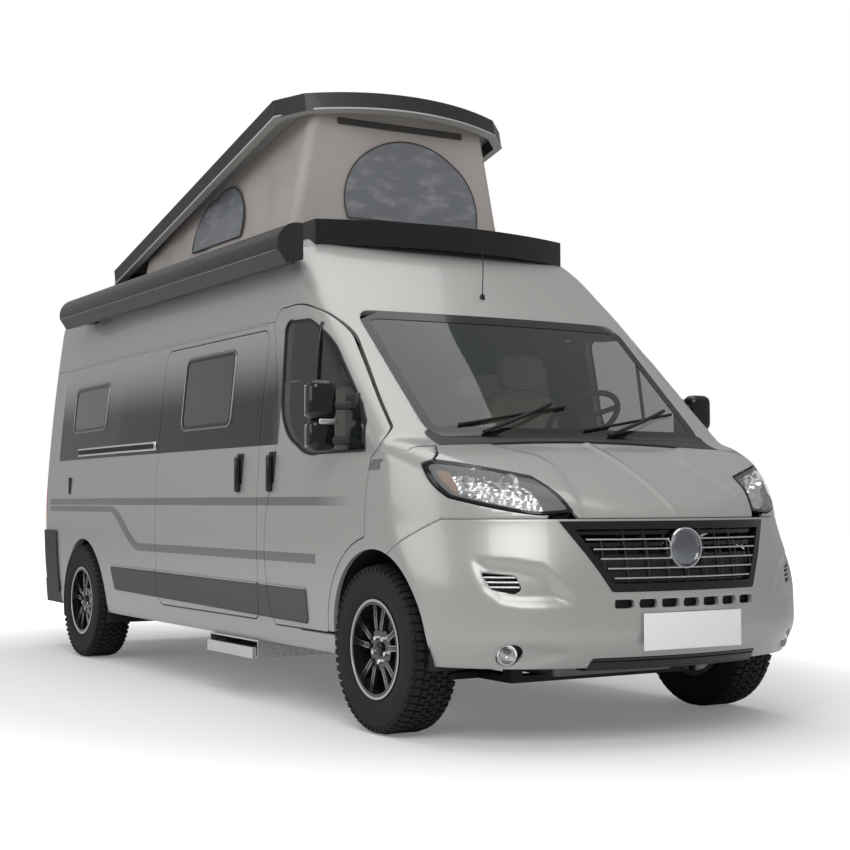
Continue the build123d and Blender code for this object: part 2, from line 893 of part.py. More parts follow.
# Rear doors, rear bumper and tail lamps
rear_door_outline = rounded(
    rear_door_split, rear_door_half_width, rear_door_bottom_z, rear_door_top_z, rear_door_corner_radius,
)
rear_window_outline = rounded(
    rear_door_split + rear_glass_margin, rear_door_half_width - rear_glass_margin,
    rear_glass_bottom_z, rear_glass_top_z, window_corner_radius,
)
rear_from = tail_y - wall * 2
rear_to = tail_y + overrun
rear_door = outer_skin & front_prism(rear_door_outline, rear_from, rear_to)
rear_door += inner_layer & front_prism(grown(rear_door_outline, -rebate), rear_from, rear_to)
rear_door -= front_prism(rear_window_outline, rear_from, rear_to)
write("rear_door_left", rear_door)
write("rear_door_right", mirror(rear_door, about=Plane.YZ))
rear_glass = glass_layer & front_prism(grown(rear_window_outline, -seat_gap), rear_from, rear_to)
write("rear_glass_left", rear_glass)
write("rear_glass_right", mirror(rear_glass, about=Plane.YZ))
rear_bumper = walls & block(-wide, wide, rear_bumper_y, rear_to, sill_z, rear_bumper_top_z - seat_gap)
rear_bumper -= rear_arch
write("rear_bumper", rear_bumper)
write("tail_lamps", both_sides(outer_skin & tail_lamp_zone))

# Floor with its rails, wheel housings and the bulkhead behind the engine
cab_inside = hull(wall + seat_gap)
floor_front_y = firewall_y
floor_rear_y = tail_y - wall - rebate
floor = cab_inside & block(-wide, wide, floor_front_y, floor_rear_y, floor_z - floor_thickness, floor_z)
bulkhead = cab_inside & block(-wide, wide, firewall_y, firewall_y + firewall_thickness, floor_z, cowl_z)
housing_inner_x = rear_track / 2 - tyre_width / 2 - wheelhouse_gap - wheelhouse_wall
housing_place = Pos(rear_arch_y, rear_arch_z)
housing_outline = housing_place * Circle(rear_arch_radius + wheelhouse_wall)
housing_space = side_prism(
    housing_place * Circle(rear_arch_radius), housing_inner_x + wheelhouse_wall, wide
)
housing = side_prism(housing_outline, housing_inner_x, wide) - housing_space
housing &= cab_inside & block(0, wide, 0, tail_y, floor_z - floor_thickness, high)
front_space_outline = Pos(front_arch_y, front_arch_z) * Circle(front_arch_radius + door_flare)
front_space = side_prism(front_space_outline, rail_x + rail_width, wide)
for space in (housing_space, front_space):
    floor = floor - space - mirror(space, about=Plane.YZ)
    bulkhead = bulkhead - space - mirror(space, about=Plane.YZ)
door_sweep = door_hole - hull(wall + rebate)
door_sweeps = door_sweep + mirror(door_sweep, about=Plane.YZ)
floor -= door_sweeps
bulkhead -= door_sweeps
rail_top_z = floor_z - floor_thickness
rail = block(
    rail_x, rail_x + rail_width, nose_y + front_overhang / 3, tail_y - wall * 3,
    rail_top_z - rail_height, rail_top_z,
)
covering = block(
    kitchen_clearance + wall - half_width, -covering_edge,
    front_axle_y + seat_from_axle + seat_depth + covering_edge, front_axle_y + bed_from_axle - covering_edge,
    floor_z - covering_thickness, floor_z + covering_thickness,
)
floor_pan = floor + covering + bulkhead + housing + rail
floor_pan = floor_pan + mirror(housing, about=Plane.YZ) + mirror(rail, about=Plane.YZ)
write("floor_pan", floor_pan)

# Engine block on its subframe, between the rails
subframe_front_y = front_axle_y - subframe_length / 2
subframe_rear_y = subframe_front_y + subframe_length
subframe_low_z = subframe_z - subframe_height / 2
knuckle_x = front_track / 2 - knuckle_inset
arm_inner_x = subframe_half_width - arm_width
subframe = Part()
for ends in ((subframe_front_y, subframe_front_y + arm_width), (subframe_rear_y - arm_width, subframe_rear_y)):
    subframe += block(-arm_inner_x + seat_gap, arm_inner_x - seat_gap, *ends, subframe_low_z, subframe_z)
side_bar = block(arm_inner_x, subframe_half_width, subframe_front_y, subframe_rear_y, subframe_low_z, subframe_z)
lower_arm = block(
    subframe_half_width + seat_gap, knuckle_x + knuckle_thickness / 2,
    front_axle_y - arm_width / 2, front_axle_y + arm_width / 2,
    subframe_low_z, subframe_z,
)
frame_posts = Part()
for end in (subframe_front_y, subframe_rear_y - rail_width):
    frame_posts += block(
        rail_x, subframe_half_width, end, end + rail_width,
        subframe_z + seat_gap, rail_top_z - rail_height - seat_gap,
    )
for piece in (side_bar, lower_arm, frame_posts):
    subframe = subframe + piece + mirror(piece, about=Plane.YZ)
write("front_subframe", subframe)
engine_z = subframe_z + seat_gap
engine = block(
    -engine_half_width, engine_half_width,
    front_axle_y - engine_length * 3 / 4, front_axle_y + engine_length / 4,
    engine_z, engine_z + engine_height,
)
engine = fillet(engine.edges().filter_by(Axis.Z), radius=arm_width / 3)
write("engine_block", engine)

# Wheels: a tyre and a rim with spokes on each hub
tyre_side = tyre_width / 2
tyre_profile = outline(
    (bead_radius, -rim_width / 2 + rim_thickness * 2),
    (rim_radius, -rim_width / 2),
    ((tyre_radius * 4 / 5, -tyre_side), (tyre_radius - rim_thickness * 2, -tyre_side * 9 / 10)),
    ((tyre_radius - rim_thickness / 2, -tyre_side * 8 / 10), (tyre_radius, -tyre_side * 3 / 5)),
    (tyre_radius, tyre_side * 3 / 5),
    (
        (tyre_radius - rim_thickness / 2, tyre_side * 8 / 10),
        (tyre_radius - rim_thickness * 2, tyre_side * 9 / 10),
    ),
    ((tyre_radius * 4 / 5, tyre_side), (rim_radius, rim_width / 2)),
    (bead_radius, rim_width / 2 - rim_thickness * 2),
)
tyre = revolve(Plane.XZ * tyre_profile, axis=Axis.Z)
rim_out = bead_radius - seat_gap
flange_z = rim_width / 2 + seat_gap + rim_thickness / 2
rim = Cylinder(rim_out, 2 * flange_z + rim_thickness)
for side in (-1, 1):
    rim += Pos(0, 0, side * flange_z) * Cylinder(rim_radius, rim_thickness)
rim -= Cylinder(rim_out - rim_thickness, rim_width * 2)
disc_z = rim_width / 2 - rim_face_inset - hub_thickness
disc = Pos(0, 0, disc_z) * Cylinder(rim_out, hub_thickness)
window_ring = Cylinder(spoke_window_outer, rim_width * 2) - Cylinder(spoke_window_inner, rim_width * 2)
spokes = []
spoke_reach = spoke_window_outer + rim_thickness
bar = Pos(spoke_reach / 2, 0, 0) * Box(spoke_reach, spoke_width, rim_width * 2)
for index in range(spoke_pairs):
    for lean in (-spoke_spread, spoke_spread):
        spokes.append(Rot(0, 0, index * 360 / spoke_pairs + lean) * bar)
for spoke in spokes:
    window_ring -= spoke
disc -= window_ring
hub_cap = Pos(0, 0, disc_z - hub_thickness / 2) * Cylinder(hub_radius, hub_thickness * 2)
bore_end = disc_z
stub_end = bore_end - seat_gap
bore = Pos(0, 0, (bore_end - rim_width) / 2) * Cylinder(hub_bore_radius, rim_width + bore_end)
rim = rim + disc + hub_cap - bore
wheel_rows = (
    ("front_right", -1, front_track, front_axle_y),
    ("front_left", 1, front_track, front_axle_y),
    ("rear_right", -1, rear_track, rear_axle_y),
    ("rear_left", 1, rear_track, rear_axle_y),
)
for name, side, track, axle_y in wheel_rows:
    place = Pos(side * track / 2, axle_y, tyre_radius) * Rot(0, side * 90, 0)
    write(f"tyre_{name}", place * tyre)
    write(f"rim_{name}", place * rim)

# Steering knuckles with stub axles in the front hubs, and the beam axle with its leaf springs behind
stub_length = knuckle_inset + stub_end - knuckle_thickness / 2
knuckle_foot = subframe_z + seat_gap - tyre_radius
knuckle = block(
    -knuckle_inset - knuckle_thickness / 2, -knuckle_inset + knuckle_thickness / 2,
    -knuckle_thickness * 3 / 4, knuckle_thickness * 3 / 4, knuckle_foot, knuckle_half_height,
)
stub_place = Pos(-knuckle_inset + knuckle_thickness / 2 + stub_length / 2, 0, 0)
stub = stub_place * Rot(0, 90, 0) * Cylinder(stub_radius, stub_length)
knuckle_left = Pos(front_track / 2, front_axle_y, tyre_radius) * (knuckle + stub)
write("knuckle_left", knuckle_left)
write("knuckle_right", mirror(knuckle_left, about=Plane.YZ))
axle_half = rear_track / 2 - rim_width / 2
beam = Pos(0, rear_axle_y, tyre_radius) * Rot(0, 90, 0) * Cylinder(axle_tube_radius, 2 * axle_half)
rear_stub_from = axle_half
rear_stub_to = rear_track / 2 + stub_end
rear_stub_place = Pos((rear_stub_from + rear_stub_to) / 2, rear_axle_y, tyre_radius)
rear_stub = rear_stub_place * Rot(0, 90, 0) * Cylinder(stub_radius, rear_stub_to - rear_stub_from)
leaf_z = tyre_radius - axle_tube_radius - spring_thickness / 2
leaf = block(
    spring_x, spring_x + spring_width, rear_axle_y - spring_half_length, rear_axle_y + spring_half_length,
    leaf_z - spring_thickness / 2, leaf_z + spring_thickness,
)
hanger = block(
    spring_x, spring_x + spring_width, -arm_width / 2, arm_width / 2, leaf_z, rail_top_z - seat_gap,
)
rear_axle = beam + rear_stub + mirror(rear_stub, about=Plane.YZ) + leaf + mirror(leaf, about=Plane.YZ)
for end in (-1, 1):
    placed = Pos(0, rear_axle_y + end * (spring_half_length - arm_width / 2), 0) * hanger
    rear_axle = rear_axle + placed + mirror(placed, about=Plane.YZ)
write("rear_axle", rear_axle)

# Fuel and water tanks, and the exhaust, under the floor
tank_z = rail_top_z - seat_gap
tank_y = front_axle_y + front_arch_radius + arm_width
tank = block(
    rail_x + rail_width + seat_gap, rail_x + rail_width + tank_width,
    tank_y, tank_y + tank_length, tank_z - tank_height, tank_z,
)
tank = fillet(tank.edges().filter_by(Axis.Y), radius=exhaust_radius)
water = block(
    -tank_width, tank_width - arm_width, tank_y, tank_y + tank_length, tank_z - tank_height, tank_z,
)
water = fillet(water.edges().filter_by(Axis.Y), radius=exhaust_radius)
pipe_z = tank_z - silencer_radius
silencer_y = tank_y + tank_length + arm_width * 2
silencer_place = Pos(spring_x / 4, silencer_y + silencer_length / 2, pipe_z)
silencer = silencer_place * Rot(90, 0, 0) * Cylinder(silencer_radius, silencer_length)
write("underfloor_tanks", Compound(children=[*tank.solids(), *water.solids(), *silencer.solids()]))

# Step under the sliding door: a case hung below the sill and a tread that slides out
step_y = front_axle_y + step_front_from_axle
step_front_x = -half_width + step_case_inset
step_back_x = step_front_x + step_case_width
case_low_z = sill_z - seat_gap - step_case_height
case = block(step_front_x, step_back_x, step_y, step_y + step_length, case_low_z, sill_z - seat_gap)
case -= block(
    -wide, step_back_x - rim_thickness, step_y + rim_thickness, step_y + step_length - rim_thickness,
    case_low_z + rim_thickness, sill_z - rim_thickness,
)
write("step_case", case)
tread_y = step_y + rim_thickness * 2
tread_end_y = step_y + step_length - rim_thickness * 2
tread_z = case_low_z + rim_thickness + seat_gap
tread = block(
    step_front_x - skin, step_back_x - rim_thickness * 2, tread_y, tread_end_y,
    tread_z, tread_z + step_tread_height,
)
tread += block(
    step_front_x - skin, step_front_x - seat_gap, tread_y, tread_end_y,
    tread_z - skin / 2, tread_z + step_front_height,
)
write("step_tread", tread)

# Awning case along the right roof edge
awning_profile = outline(
    (-awning_outer_x, awning_bottom_z + awning_height / 3),
    (
        (-awning_outer_x + awning_width / 4, awning_bottom_z + awning_height * 7 / 8),
        (-awning_outer_x + awning_width, awning_bottom_z + awning_height),
    ),
    (-awning_outer_x + awning_width, awning_bottom_z + awning_height / 8),
    (-awning_outer_x + awning_width / 3, awning_bottom_z),
)
awning = front_prism(awning_profile, nose_y + awning_front_from_nose, nose_y + awning_rear_from_nose)
bracket_z = awning_bottom_z + awning_height / 8
for share in awning_bracket_shares:
    bracket_y = nose_y + awning_front_from_nose + share * (awning_rear_from_nose - awning_front_from_nose)
    awning += block(
        -awning_outer_x + awning_width, -awning_outer_x + awning_width * 2,
        bracket_y - awning_bracket_length / 2, bracket_y + awning_bracket_length / 2,
        bracket_z, bracket_z + awning_bracket_height,
    )
around = hull(-seat_gap)
awning -= around
write("awning_case", awning)

# Black base ring of the pop-up roof, its shell and the tent between them
base_front_y = nose_y + base_front_from_nose
base_rear_y = tail_y - shell_hinge_from_tail + shell_rim + base_rear_gap
base_outline = outline(
    (-base_half_width, base_rear_y),
    (-base_half_width, base_front_y + base_bow),
    ((0, base_front_y), (base_half_width, base_front_y + base_bow)),
    (base_half_width, base_rear_y),
)
base_top_z = body_height + base_height / 2
base = plan_prism(base_outline, body_height - roof_wall * 2, base_top_z)
base -= plan_prism(grown(base_outline, -base_rim), 0, high)
base -= around
write("roof_base", base)

hinge_y = tail_y - shell_hinge_from_tail
shell_outline = outline(
    (-shell_half_width, hinge_y + shell_rim),
    (-shell_half_width, hinge_y - shell_length + shell_nose_bow + shell_corner),
    (-shell_half_width + shell_corner, hinge_y - shell_length + shell_nose_bow),
    ((0, hinge_y - shell_length), (shell_half_width - shell_corner, hinge_y - shell_length + shell_nose_bow)),
    (shell_half_width, hinge_y - shell_length + shell_nose_bow + shell_corner),
    (shell_half_width, hinge_y + shell_rim),
)
shell_closed = plan_prism(shell_outline, shell_hinge_z, shell_hinge_z + shell_height)
shell_closed -= plan_prism(grown(shell_outline, -shell_rim), 0, shell_hinge_z + shell_height - shell_skin)
hinge_axis = Axis((0, hinge_y, shell_hinge_z), (1, 0, 0))
shell = shell_closed.rotate(hinge_axis, -roof_open_angle)
write("pop_roof", shell)

tent_front_y = nose_y + tent_front_from_nose
tent_rear_y = hinge_y - tent_rear_gap
slope = math.tan(math.radians(roof_open_angle))
tent_low_z = base_top_z + seat_gap * 2
roof_tilt = math.radians(roof_open_angle)
ceiling_z = shell_hinge_z + (shell_height - shell_skin) / math.cos(roof_tilt) - seat_gap * 2
front_rise = ceiling_z + (hinge_y - tent_front_y) * slope - tent_low_z
tent_lean = (tent_base_half - tent_top_half) / front_rise


def tent_form(inset, stretch):
    """The canvas wedge between the base and the raised shell."""
    half_low = tent_base_half - inset
    front_y = tent_front_y + inset
    rear_y = tent_rear_y - inset
    low = tent_low_z - stretch
    corners = []
    for y in (front_y, rear_y):
        top = ceiling_z + (hinge_y - y) * slope
        lean = tent_lean * (top - tent_low_z)
        corners.append((half_low - lean, y, top + stretch))
    (front_half, y_a, top_a), (rear_half, y_b, top_b) = corners
    foot = Wire.make_polygon(
        [(-half_low, y_a, low), (half_low, y_a, low), (half_low, y_b, low), (-half_low, y_b, low)]
    )
    head = Wire.make_polygon(
        [(-front_half, y_a, top_a), (front_half, y_a, top_a), (rear_half, y_b, top_b), (-rear_half, y_b, top_b)]
    )
    return loft([Face(foot), Face(head)], ruled=True)


write("tent", tent_form(0, 0) - tent_form(tent_wall, tent_wall))

# Dashboard and steering wheel
dash_front_y = firewall_y + firewall_thickness + seat_gap
dash_rear_y = dash_front_y + dash_depth
dash_outline = outline(
    (dash_front_y, dash_top_z - dash_height),
    (dash_front_y, cowl_z + seat_gap),
    (dash_front_y - dash_shelf, cowl_z + seat_gap),
    (dash_front_y - dash_shelf, dash_top_z),
    ((dash_front_y + dash_depth / 2, dash_top_z - skin), (dash_rear_y, dash_top_z - dash_height / 3)),
    (dash_rear_y - dash_depth / 4, dash_top_z - dash_height),
)
dash = (cab_inside & side_prism(dash_outline, -wide, wide)) - door_sweeps
for side in (-1, 1):
    ends = sorted((side * dash_end_half, side * wide))
    dash -= block(*ends, nose_y, dash_rear_y, dash_top_z - dash_end_drop, high)
ring_place = Pos(wheel_centre_x, front_axle_y + wheel_centre_from_axle, wheel_centre_z) * Rot(-column_tilt, 0, 0)
cowl_from = wheel_ring_section + seat_gap
dash += ring_place * Pos(0, 0, -cowl_from - column_length / 2) * Cylinder(column_radius * 2, column_length)
write("dashboard", dash)
ring = Torus(wheel_ring_radius, wheel_ring_section)
for turn in (0, 120, 240):
    spoke = Pos(wheel_ring_radius / 2, 0, 0) * Box(wheel_ring_radius, column_radius * 3 / 2, rim_thickness)
    ring += Rot(0, 0, turn + 90) * spoke
ring += Cylinder(column_radius * 2, wheel_ring_section * 2)
steering = ring_place * ring
write("steering_wheel", steering)

# Cab seats
seat_front_y = front_axle_y + seat_from_axle
seat_low = floor_z + seat_gap
cushion_z = seat_low + seat_base_height
back_y = seat_front_y + seat_depth - back_thickness
seat = block(
    seat_x - seat_width * 3 / 8, seat_x + seat_width * 3 / 8, seat_front_y + arm_width, back_y, seat_low, cushion_z,
)
seat += block(
    seat_x - seat_width / 2, seat_x + seat_width / 2, seat_front_y, back_y, cushion_z, cushion_z + cushion_thickness,
)
back = block(
    seat_x - seat_width / 2, seat_x + seat_width / 2, back_y, back_y + back_thickness, cushion_z,
    cushion_z + cushion_thickness + back_height,
)
head_z = cushion_z + cushion_thickness + back_height
back += block(
    seat_x - head_width / 2, seat_x + head_width / 2, back_y + rim_thickness, back_y + back_thickness - rim_thickness,
    head_z, head_z + head_height,
)
write("cab_seats", both_sides(mirror(seat + back, about=Plane.YZ)))

# Kitchen block, bench and rear bed
inside_half = half_width - wall - kitchen_clearance
kitchen_y = front_axle_y + kitchen_from_axle
kitchen = block(
    inside_half - kitchen_depth, inside_half, kitchen_y, kitchen_y + kitchen_length,
    seat_low, seat_low + kitchen_height,
)
bench_y = front_axle_y + bench_from_axle
bench = block(
    inside_half - bench_width, inside_half, bench_y, bench_y + bench_length, seat_low, seat_low + bench_height,
)
bench_top = seat_low + bench_height
bench_back = block(
    inside_half - bench_width, inside_half, bench_y + bench_length - back_thickness, bench_y + bench_length,
    bench_top + seat_gap, bench_top + back_height,
)
bed_y = front_axle_y + bed_from_axle
bed_end_y = tail_y - wall - rear_corner_radius
bed_z = seat_low + bed_height
bed_half = inside_half - rear_taper
bed = block(-bed_half, bed_half, bed_y, bed_end_y, bed_z, bed_z + bed_top)
bed_side_x = housing_inner_x - wheelhouse_gap
bed_side = block(bed_side_x - skin, bed_side_x, bed_y, bed_end_y, seat_low, bed_z - seat_gap)
boards = (kitchen, bench, bench_back, bed, bed_side, mirror(bed_side, about=Plane.YZ))
write("furniture", Compound(children=[solid for board in boards for solid in board.solids()]))

# Door mirrors on two arms
mirror_front_y = front_axle_y + mirror_front_from_axle
mirror_outline = rounded(
    mirror_outer_x - mirror_width, mirror_outer_x, mirror_front_y, mirror_front_y + mirror_depth, mirror_corner,
)
arm_foot_y = front_axle_y + mirror_arm_foot_from_axle
arm_outline = outline(
    (half_width - wall, arm_foot_y - mirror_corner),
    (half_width + mirror_corner, arm_foot_y - mirror_corner),
    (mirror_outer_x - mirror_corner, mirror_front_y),
    (mirror_outer_x - mirror_width, mirror_front_y + mirror_corner),
    (half_width - wall, arm_foot_y + mirror_corner),
)
mirror_arms = Part()
for arm_z in (mirror_bottom_z + mirror_arm_height / 2, mirror_bottom_z + mirror_height / 2):
    mirror_arms += plan_prism(arm_outline, arm_z, arm_z + mirror_arm_height)
mirror_arms -= around
mirror_left = plan_prism(mirror_outline, mirror_bottom_z, mirror_bottom_z + mirror_height) + mirror_arms
write("mirror_left", mirror_left)
write("mirror_right", mirror(mirror_left, about=Plane.YZ))
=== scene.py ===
# Looks of the camper van. Metres; +Z is up, the van faces -Y and its sliding door is on the -X side.
import math

import bmesh
import bpy
import numpy as np
from mathutils import Matrix, Vector


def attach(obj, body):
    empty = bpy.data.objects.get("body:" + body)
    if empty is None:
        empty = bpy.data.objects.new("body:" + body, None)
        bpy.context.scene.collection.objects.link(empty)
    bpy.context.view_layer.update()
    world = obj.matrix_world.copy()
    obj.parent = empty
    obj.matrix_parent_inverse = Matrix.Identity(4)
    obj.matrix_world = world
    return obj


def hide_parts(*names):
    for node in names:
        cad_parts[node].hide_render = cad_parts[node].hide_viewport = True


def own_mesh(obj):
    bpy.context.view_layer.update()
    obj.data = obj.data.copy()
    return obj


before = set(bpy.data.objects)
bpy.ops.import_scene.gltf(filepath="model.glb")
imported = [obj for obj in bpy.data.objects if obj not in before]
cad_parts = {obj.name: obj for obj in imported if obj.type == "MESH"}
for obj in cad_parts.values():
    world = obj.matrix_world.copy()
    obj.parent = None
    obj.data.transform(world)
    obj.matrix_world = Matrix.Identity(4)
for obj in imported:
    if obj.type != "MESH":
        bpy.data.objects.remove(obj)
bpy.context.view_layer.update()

# Underbody: welded steel floor, rails, subframe and axles in dark paint, with a cast engine block
# between them. The aluminium step slides out under the sliding door. All keep the solids' shape.
class Value:
    """A shader socket that adds, multiplies and compares like a number."""

    def __init__(self, surface, socket):
        self.surface = surface
        self.socket = socket

    def maths(self, operation, *others):
        """The result of a Math node on this value and the others."""
        return self.surface.node(
            "Math", {k: v for k, v in enumerate((self, *others))}, operation=operation
        )

    def __add__(self, other):
        return self.maths("ADD", other)

    def __sub__(self, other):
        return self.maths("SUBTRACT", other)

    def __mul__(self, other):
        return self.maths("MULTIPLY", other)

    def __rsub__(self, other):
        return self.surface.node("Math", {0: other, 1: self}, operation="SUBTRACT")

    __radd__ = __add__
    __rmul__ = __mul__

    def __gt__(self, other):
        return self.maths("GREATER_THAN", other)

    def __lt__(self, other):
        return self.maths("LESS_THAN", other)

    def between(self, low, high):
        """1 between these two, 0 elsewhere."""
        return (self > low) * (self < high)

    def ramp(self, low, high, start=0.0, end=1.0):
        """Goes smoothly from start to end while this value goes from low to high."""
        inputs = {"Value": self, "From Min": low, "From Max": high, "To Min": start, "To Max": end}
        return self.surface.node("MapRange", inputs, interpolation_type="SMOOTHSTEP")


class Surface:
    """A material built from nodes round one Principled shader."""

    def __init__(self, name, color, roughness=0.5, metallic=0.0, coat=0.0, alpha=1.0, **sockets):
        self.material = bpy.data.materials.new(name)
        self.material.use_nodes = True
        self.tree = self.material.node_tree
        self.shader = self.tree.nodes["Principled BSDF"]
        self.set("Base Color", (*color, 1.0))
        self.set("Roughness", roughness)
        self.set("Metallic", metallic)
        self.set("Coat Weight", coat)
        self.set("Alpha", alpha)
        for socket, value in sockets.items():
            self.set(socket.replace("_", " ").title(), value)
        self.place = self.node("TexCoord", {}, output="Object", raw=True)
        split = self.tree.nodes.new("ShaderNodeSeparateXYZ")
        self.tree.links.new(self.place, split.inputs[0])
        self.x, self.y, self.z = (Value(self, split.outputs[k]) for k in range(3))

    def set(self, socket, value):
        """Sets a shader socket to a number, a colour or another node's value."""
        target = self.shader.inputs[socket]
        if isinstance(value, Value):
            self.tree.links.new(value.socket, target)
        else:
            target.default_value = value

    def node(self, kind, inputs, output=0, raw=False, **settings):
        """Adds any node; inputs are numbers, colours or Values, by name or place."""
        made = self.tree.nodes.new("ShaderNode" + kind)
        for key, value in settings.items():
            setattr(made, key, value)
        for key, value in inputs.items():
            if isinstance(value, Value):
                self.tree.links.new(value.socket, made.inputs[key])
            elif isinstance(value, bpy.types.NodeSocket):
                self.tree.links.new(value, made.inputs[key])
            else:
                made.inputs[key].default_value = value
        socket = made.outputs[output]
        return socket if raw else Value(self, socket)

    def noise(self, scale, detail=3.0, stretch=(1, 1, 1)):
        """Noise in object space."""
        mapped = self.node("Mapping", {"Vector": self.place, "Scale": stretch}, raw=True)
        return self.node("TexNoise", {"Vector": mapped, "Scale": scale, "Detail": detail})

    def blend(self, factor, first, second):
        """A colour between two colours."""
        pair = [c if isinstance(c, Value) else (*c, 1.0) for c in (first, second)]
        return self.node("MixRGB", {"Fac": factor, "Color1": pair[0], "Color2": pair[1]})

    def bump(self, height, distance, strength=1.0):
        """Relief on the surface."""
        inputs = {"Height": height, "Distance": distance, "Strength": strength}
        self.set("Normal", self.node("Bump", inputs, output="Normal"))


def plastic(name, color, roughness, grain=0.0, coat=0.0):
    """Moulded plastic, with a fine grain where it is matte."""
    s = Surface(name, color, roughness=roughness, coat=coat * 0.4)
    s.set("Specular IOR Level", 0.3)
    if grain:
        pattern = s.noise(420.0, 2.0)
        s.bump(pattern, 0.0004, grain)
        s.set("Roughness", pattern.ramp(0.3, 0.7, roughness - 0.08, roughness + 0.08))
    return s.material


def metal(name, color, roughness, brushed=False):
    """Bare or plated metal."""
    s = Surface(name, color, roughness=roughness, metallic=1.0)
    if brushed:
        lines = s.noise(60.0, 3.0, (1, 0.04, 8))
        s.set("Roughness", lines.ramp(0.3, 0.7, roughness - 0.06, roughness + 0.10))
        s.bump(lines, 0.0003, 0.15)
    return s.material


aluminium = metal("aluminium", (0.72, 0.73, 0.74), 0.28, brushed=True)
chassis = plastic("chassis_black", (0.02, 0.02, 0.021), 0.62, grain=0.3)
iron = metal("engine_metal", (0.22, 0.22, 0.23), 0.55)


def finish_nodes(material, *names):
    """Gives solids that keep their own shape their material."""
    for name in names:
        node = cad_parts[name]
        node.data.materials.clear()
        node.data.materials.append(material)


finish_nodes(
    chassis, "underfloor_tanks", "floor_pan", "front_subframe", "knuckle_left", "knuckle_right",
    "rear_axle",
)
finish_nodes(iron, "engine_block")
finish_nodes(aluminium, "step_case", "step_tread")

# Flanks behind the cab doors: pressed and welded steel sheet in metallic paint, cut along the arches and
# windows and turned in at its edges. The sliding door is a panel of the same sheet on the right side.
half_width = 1.024
body_height = 2.440
nose_y = -2.999
tail_y = 2.999
cab_length = 2.199
sill_z = 0.318
front_axle_y = -2.051
taper_y = 1.284
rear_taper = 0.058
tail_corner = 0.140
bonnet_sweep = 5.5
shoulder_round = 0.070
roof_seam_z = 1.942
cap_end_y = nose_y + cab_length
gap = 0.0035
section_shares = (
    (0.962, 0.130), (1.000, 0.328), (0.994, 0.471), (0.962, 0.639),
    (0.884, 0.914), (0.830, 0.957), (0.723, 0.9775),
)
nose_rows = (
    (0.115, 0.110, 1.790, 0.660, 0.985),
    (0.200, 0.000, 1.790, 0.700, 1.012),
    (0.262, 0.000, 1.700, 0.710, 1.014),
    (0.390, 0.052, 1.300, 0.800, 1.010),
    (0.540, 0.160, 1.300, 0.800, 1.004),
)
cab_rows = (
    (0.500, 0.660, 4.000, 0.190, 0.997),
    (0.529, 0.739, 4.200, 0.190, 0.989),
    (0.674, 1.140, 4.600, 0.190, 0.958),
    (0.820, 1.549, 6.000, 0.180, 0.922),
    (0.875, 1.690, 5.000, 0.190, 0.905),
    (0.930, 1.830, 4.500, 0.210, 0.880),
    (0.975, 1.980, 4.000, 0.230, 0.840),
    (0.994, 2.100, 4.000, 0.250, 0.800),
    (1.020, 2.199, 4.000, 0.260, 0.760),
)
bonnet_shares = ((0.0246, 0.3914), (0.1814, 0.4754), (0.3361, 0.5287))


def circle_through(a, b, c):
    """Centre and radius of the circle through three points."""
    (ax, ay), (bx, by), (cx, cy) = a, b, c
    scale = 2 * (ax * (by - cy) + bx * (cy - ay) + cx * (ay - by))
    sa, sb, sc = ax * ax + ay * ay, bx * bx + by * by, cx * cx + cy * cy
    ux = (sa * (by - cy) + sb * (cy - ay) + sc * (ay - by)) / scale
    uy = (sa * (cx - bx) + sb * (ax - cx) + sc * (bx - ax)) / scale
    return ux, uy, math.hypot(ax - ux, ay - uy)


def arc(a, b, c, count=14):
    """Points on the arc from a through b to c, without a."""
    ux, uy, radius = circle_through(a, b, c)
    start, middle, end = (math.atan2(p[1] - uy, p[0] - ux) for p in (a, b, c))
    turn = (end - start) % math.tau
    if (middle - start) % math.tau > turn:
        turn -= math.tau
    angles = [start + turn * k / count for k in range(1, count + 1)]
    return [(ux + radius * math.cos(t), uy + radius * math.sin(t)) for t in angles]


def outline(*steps):
    """A closed outline; a step of two points is an arc through the first to the second."""
    points = [steps[0]]
    for step in steps[1:]:
        points.extend(arc(points[-1], *step) if isinstance(step[0], tuple) else [step])
    if math.dist(points[0], points[-1]) < 1e-6:
        points.pop()
    return np.array(points)


def rounded(u0, u1, v0, v1, radius, count=8):
    """A rounded rectangle."""
    points = []
    for cu, cv, start in (
        (u1 - radius, v0 + radius, -90), (u1 - radius, v1 - radius, 0),
        (u0 + radius, v1 - radius, 90), (u0 + radius, v0 + radius, 180),
    ):
        for k in range(count + 1):
            turn = math.radians(start + 90 * k / count)
            points.append((cu + radius * math.cos(turn), cv + radius * math.sin(turn)))
    return np.array(points)


def inside(shape, u, v):
    """Distance into a closed outline, negative outside it."""
    start, end = shape, np.roll(shape, -1, axis=0)
    near = np.full(u.shape, np.inf)
    within = np.zeros(u.shape, bool)
    for (u0, v0), (u1, v1) in zip(start, end):
        du, dv = u1 - u0, v1 - v0
        t = np.clip(((u - u0) * du + (v - v0) * dv) / max(du * du + dv * dv, 1e-12), 0, 1)
        near = np.minimum(near, np.hypot(u - u0 - t * du, v - v0 - t * dv))
        if v0 != v1:
            crossing = ((v0 > v) != (v1 > v)) & (u < du * (v - v0) / dv + u0)
            within ^= crossing
    return np.where(within, near, -near)


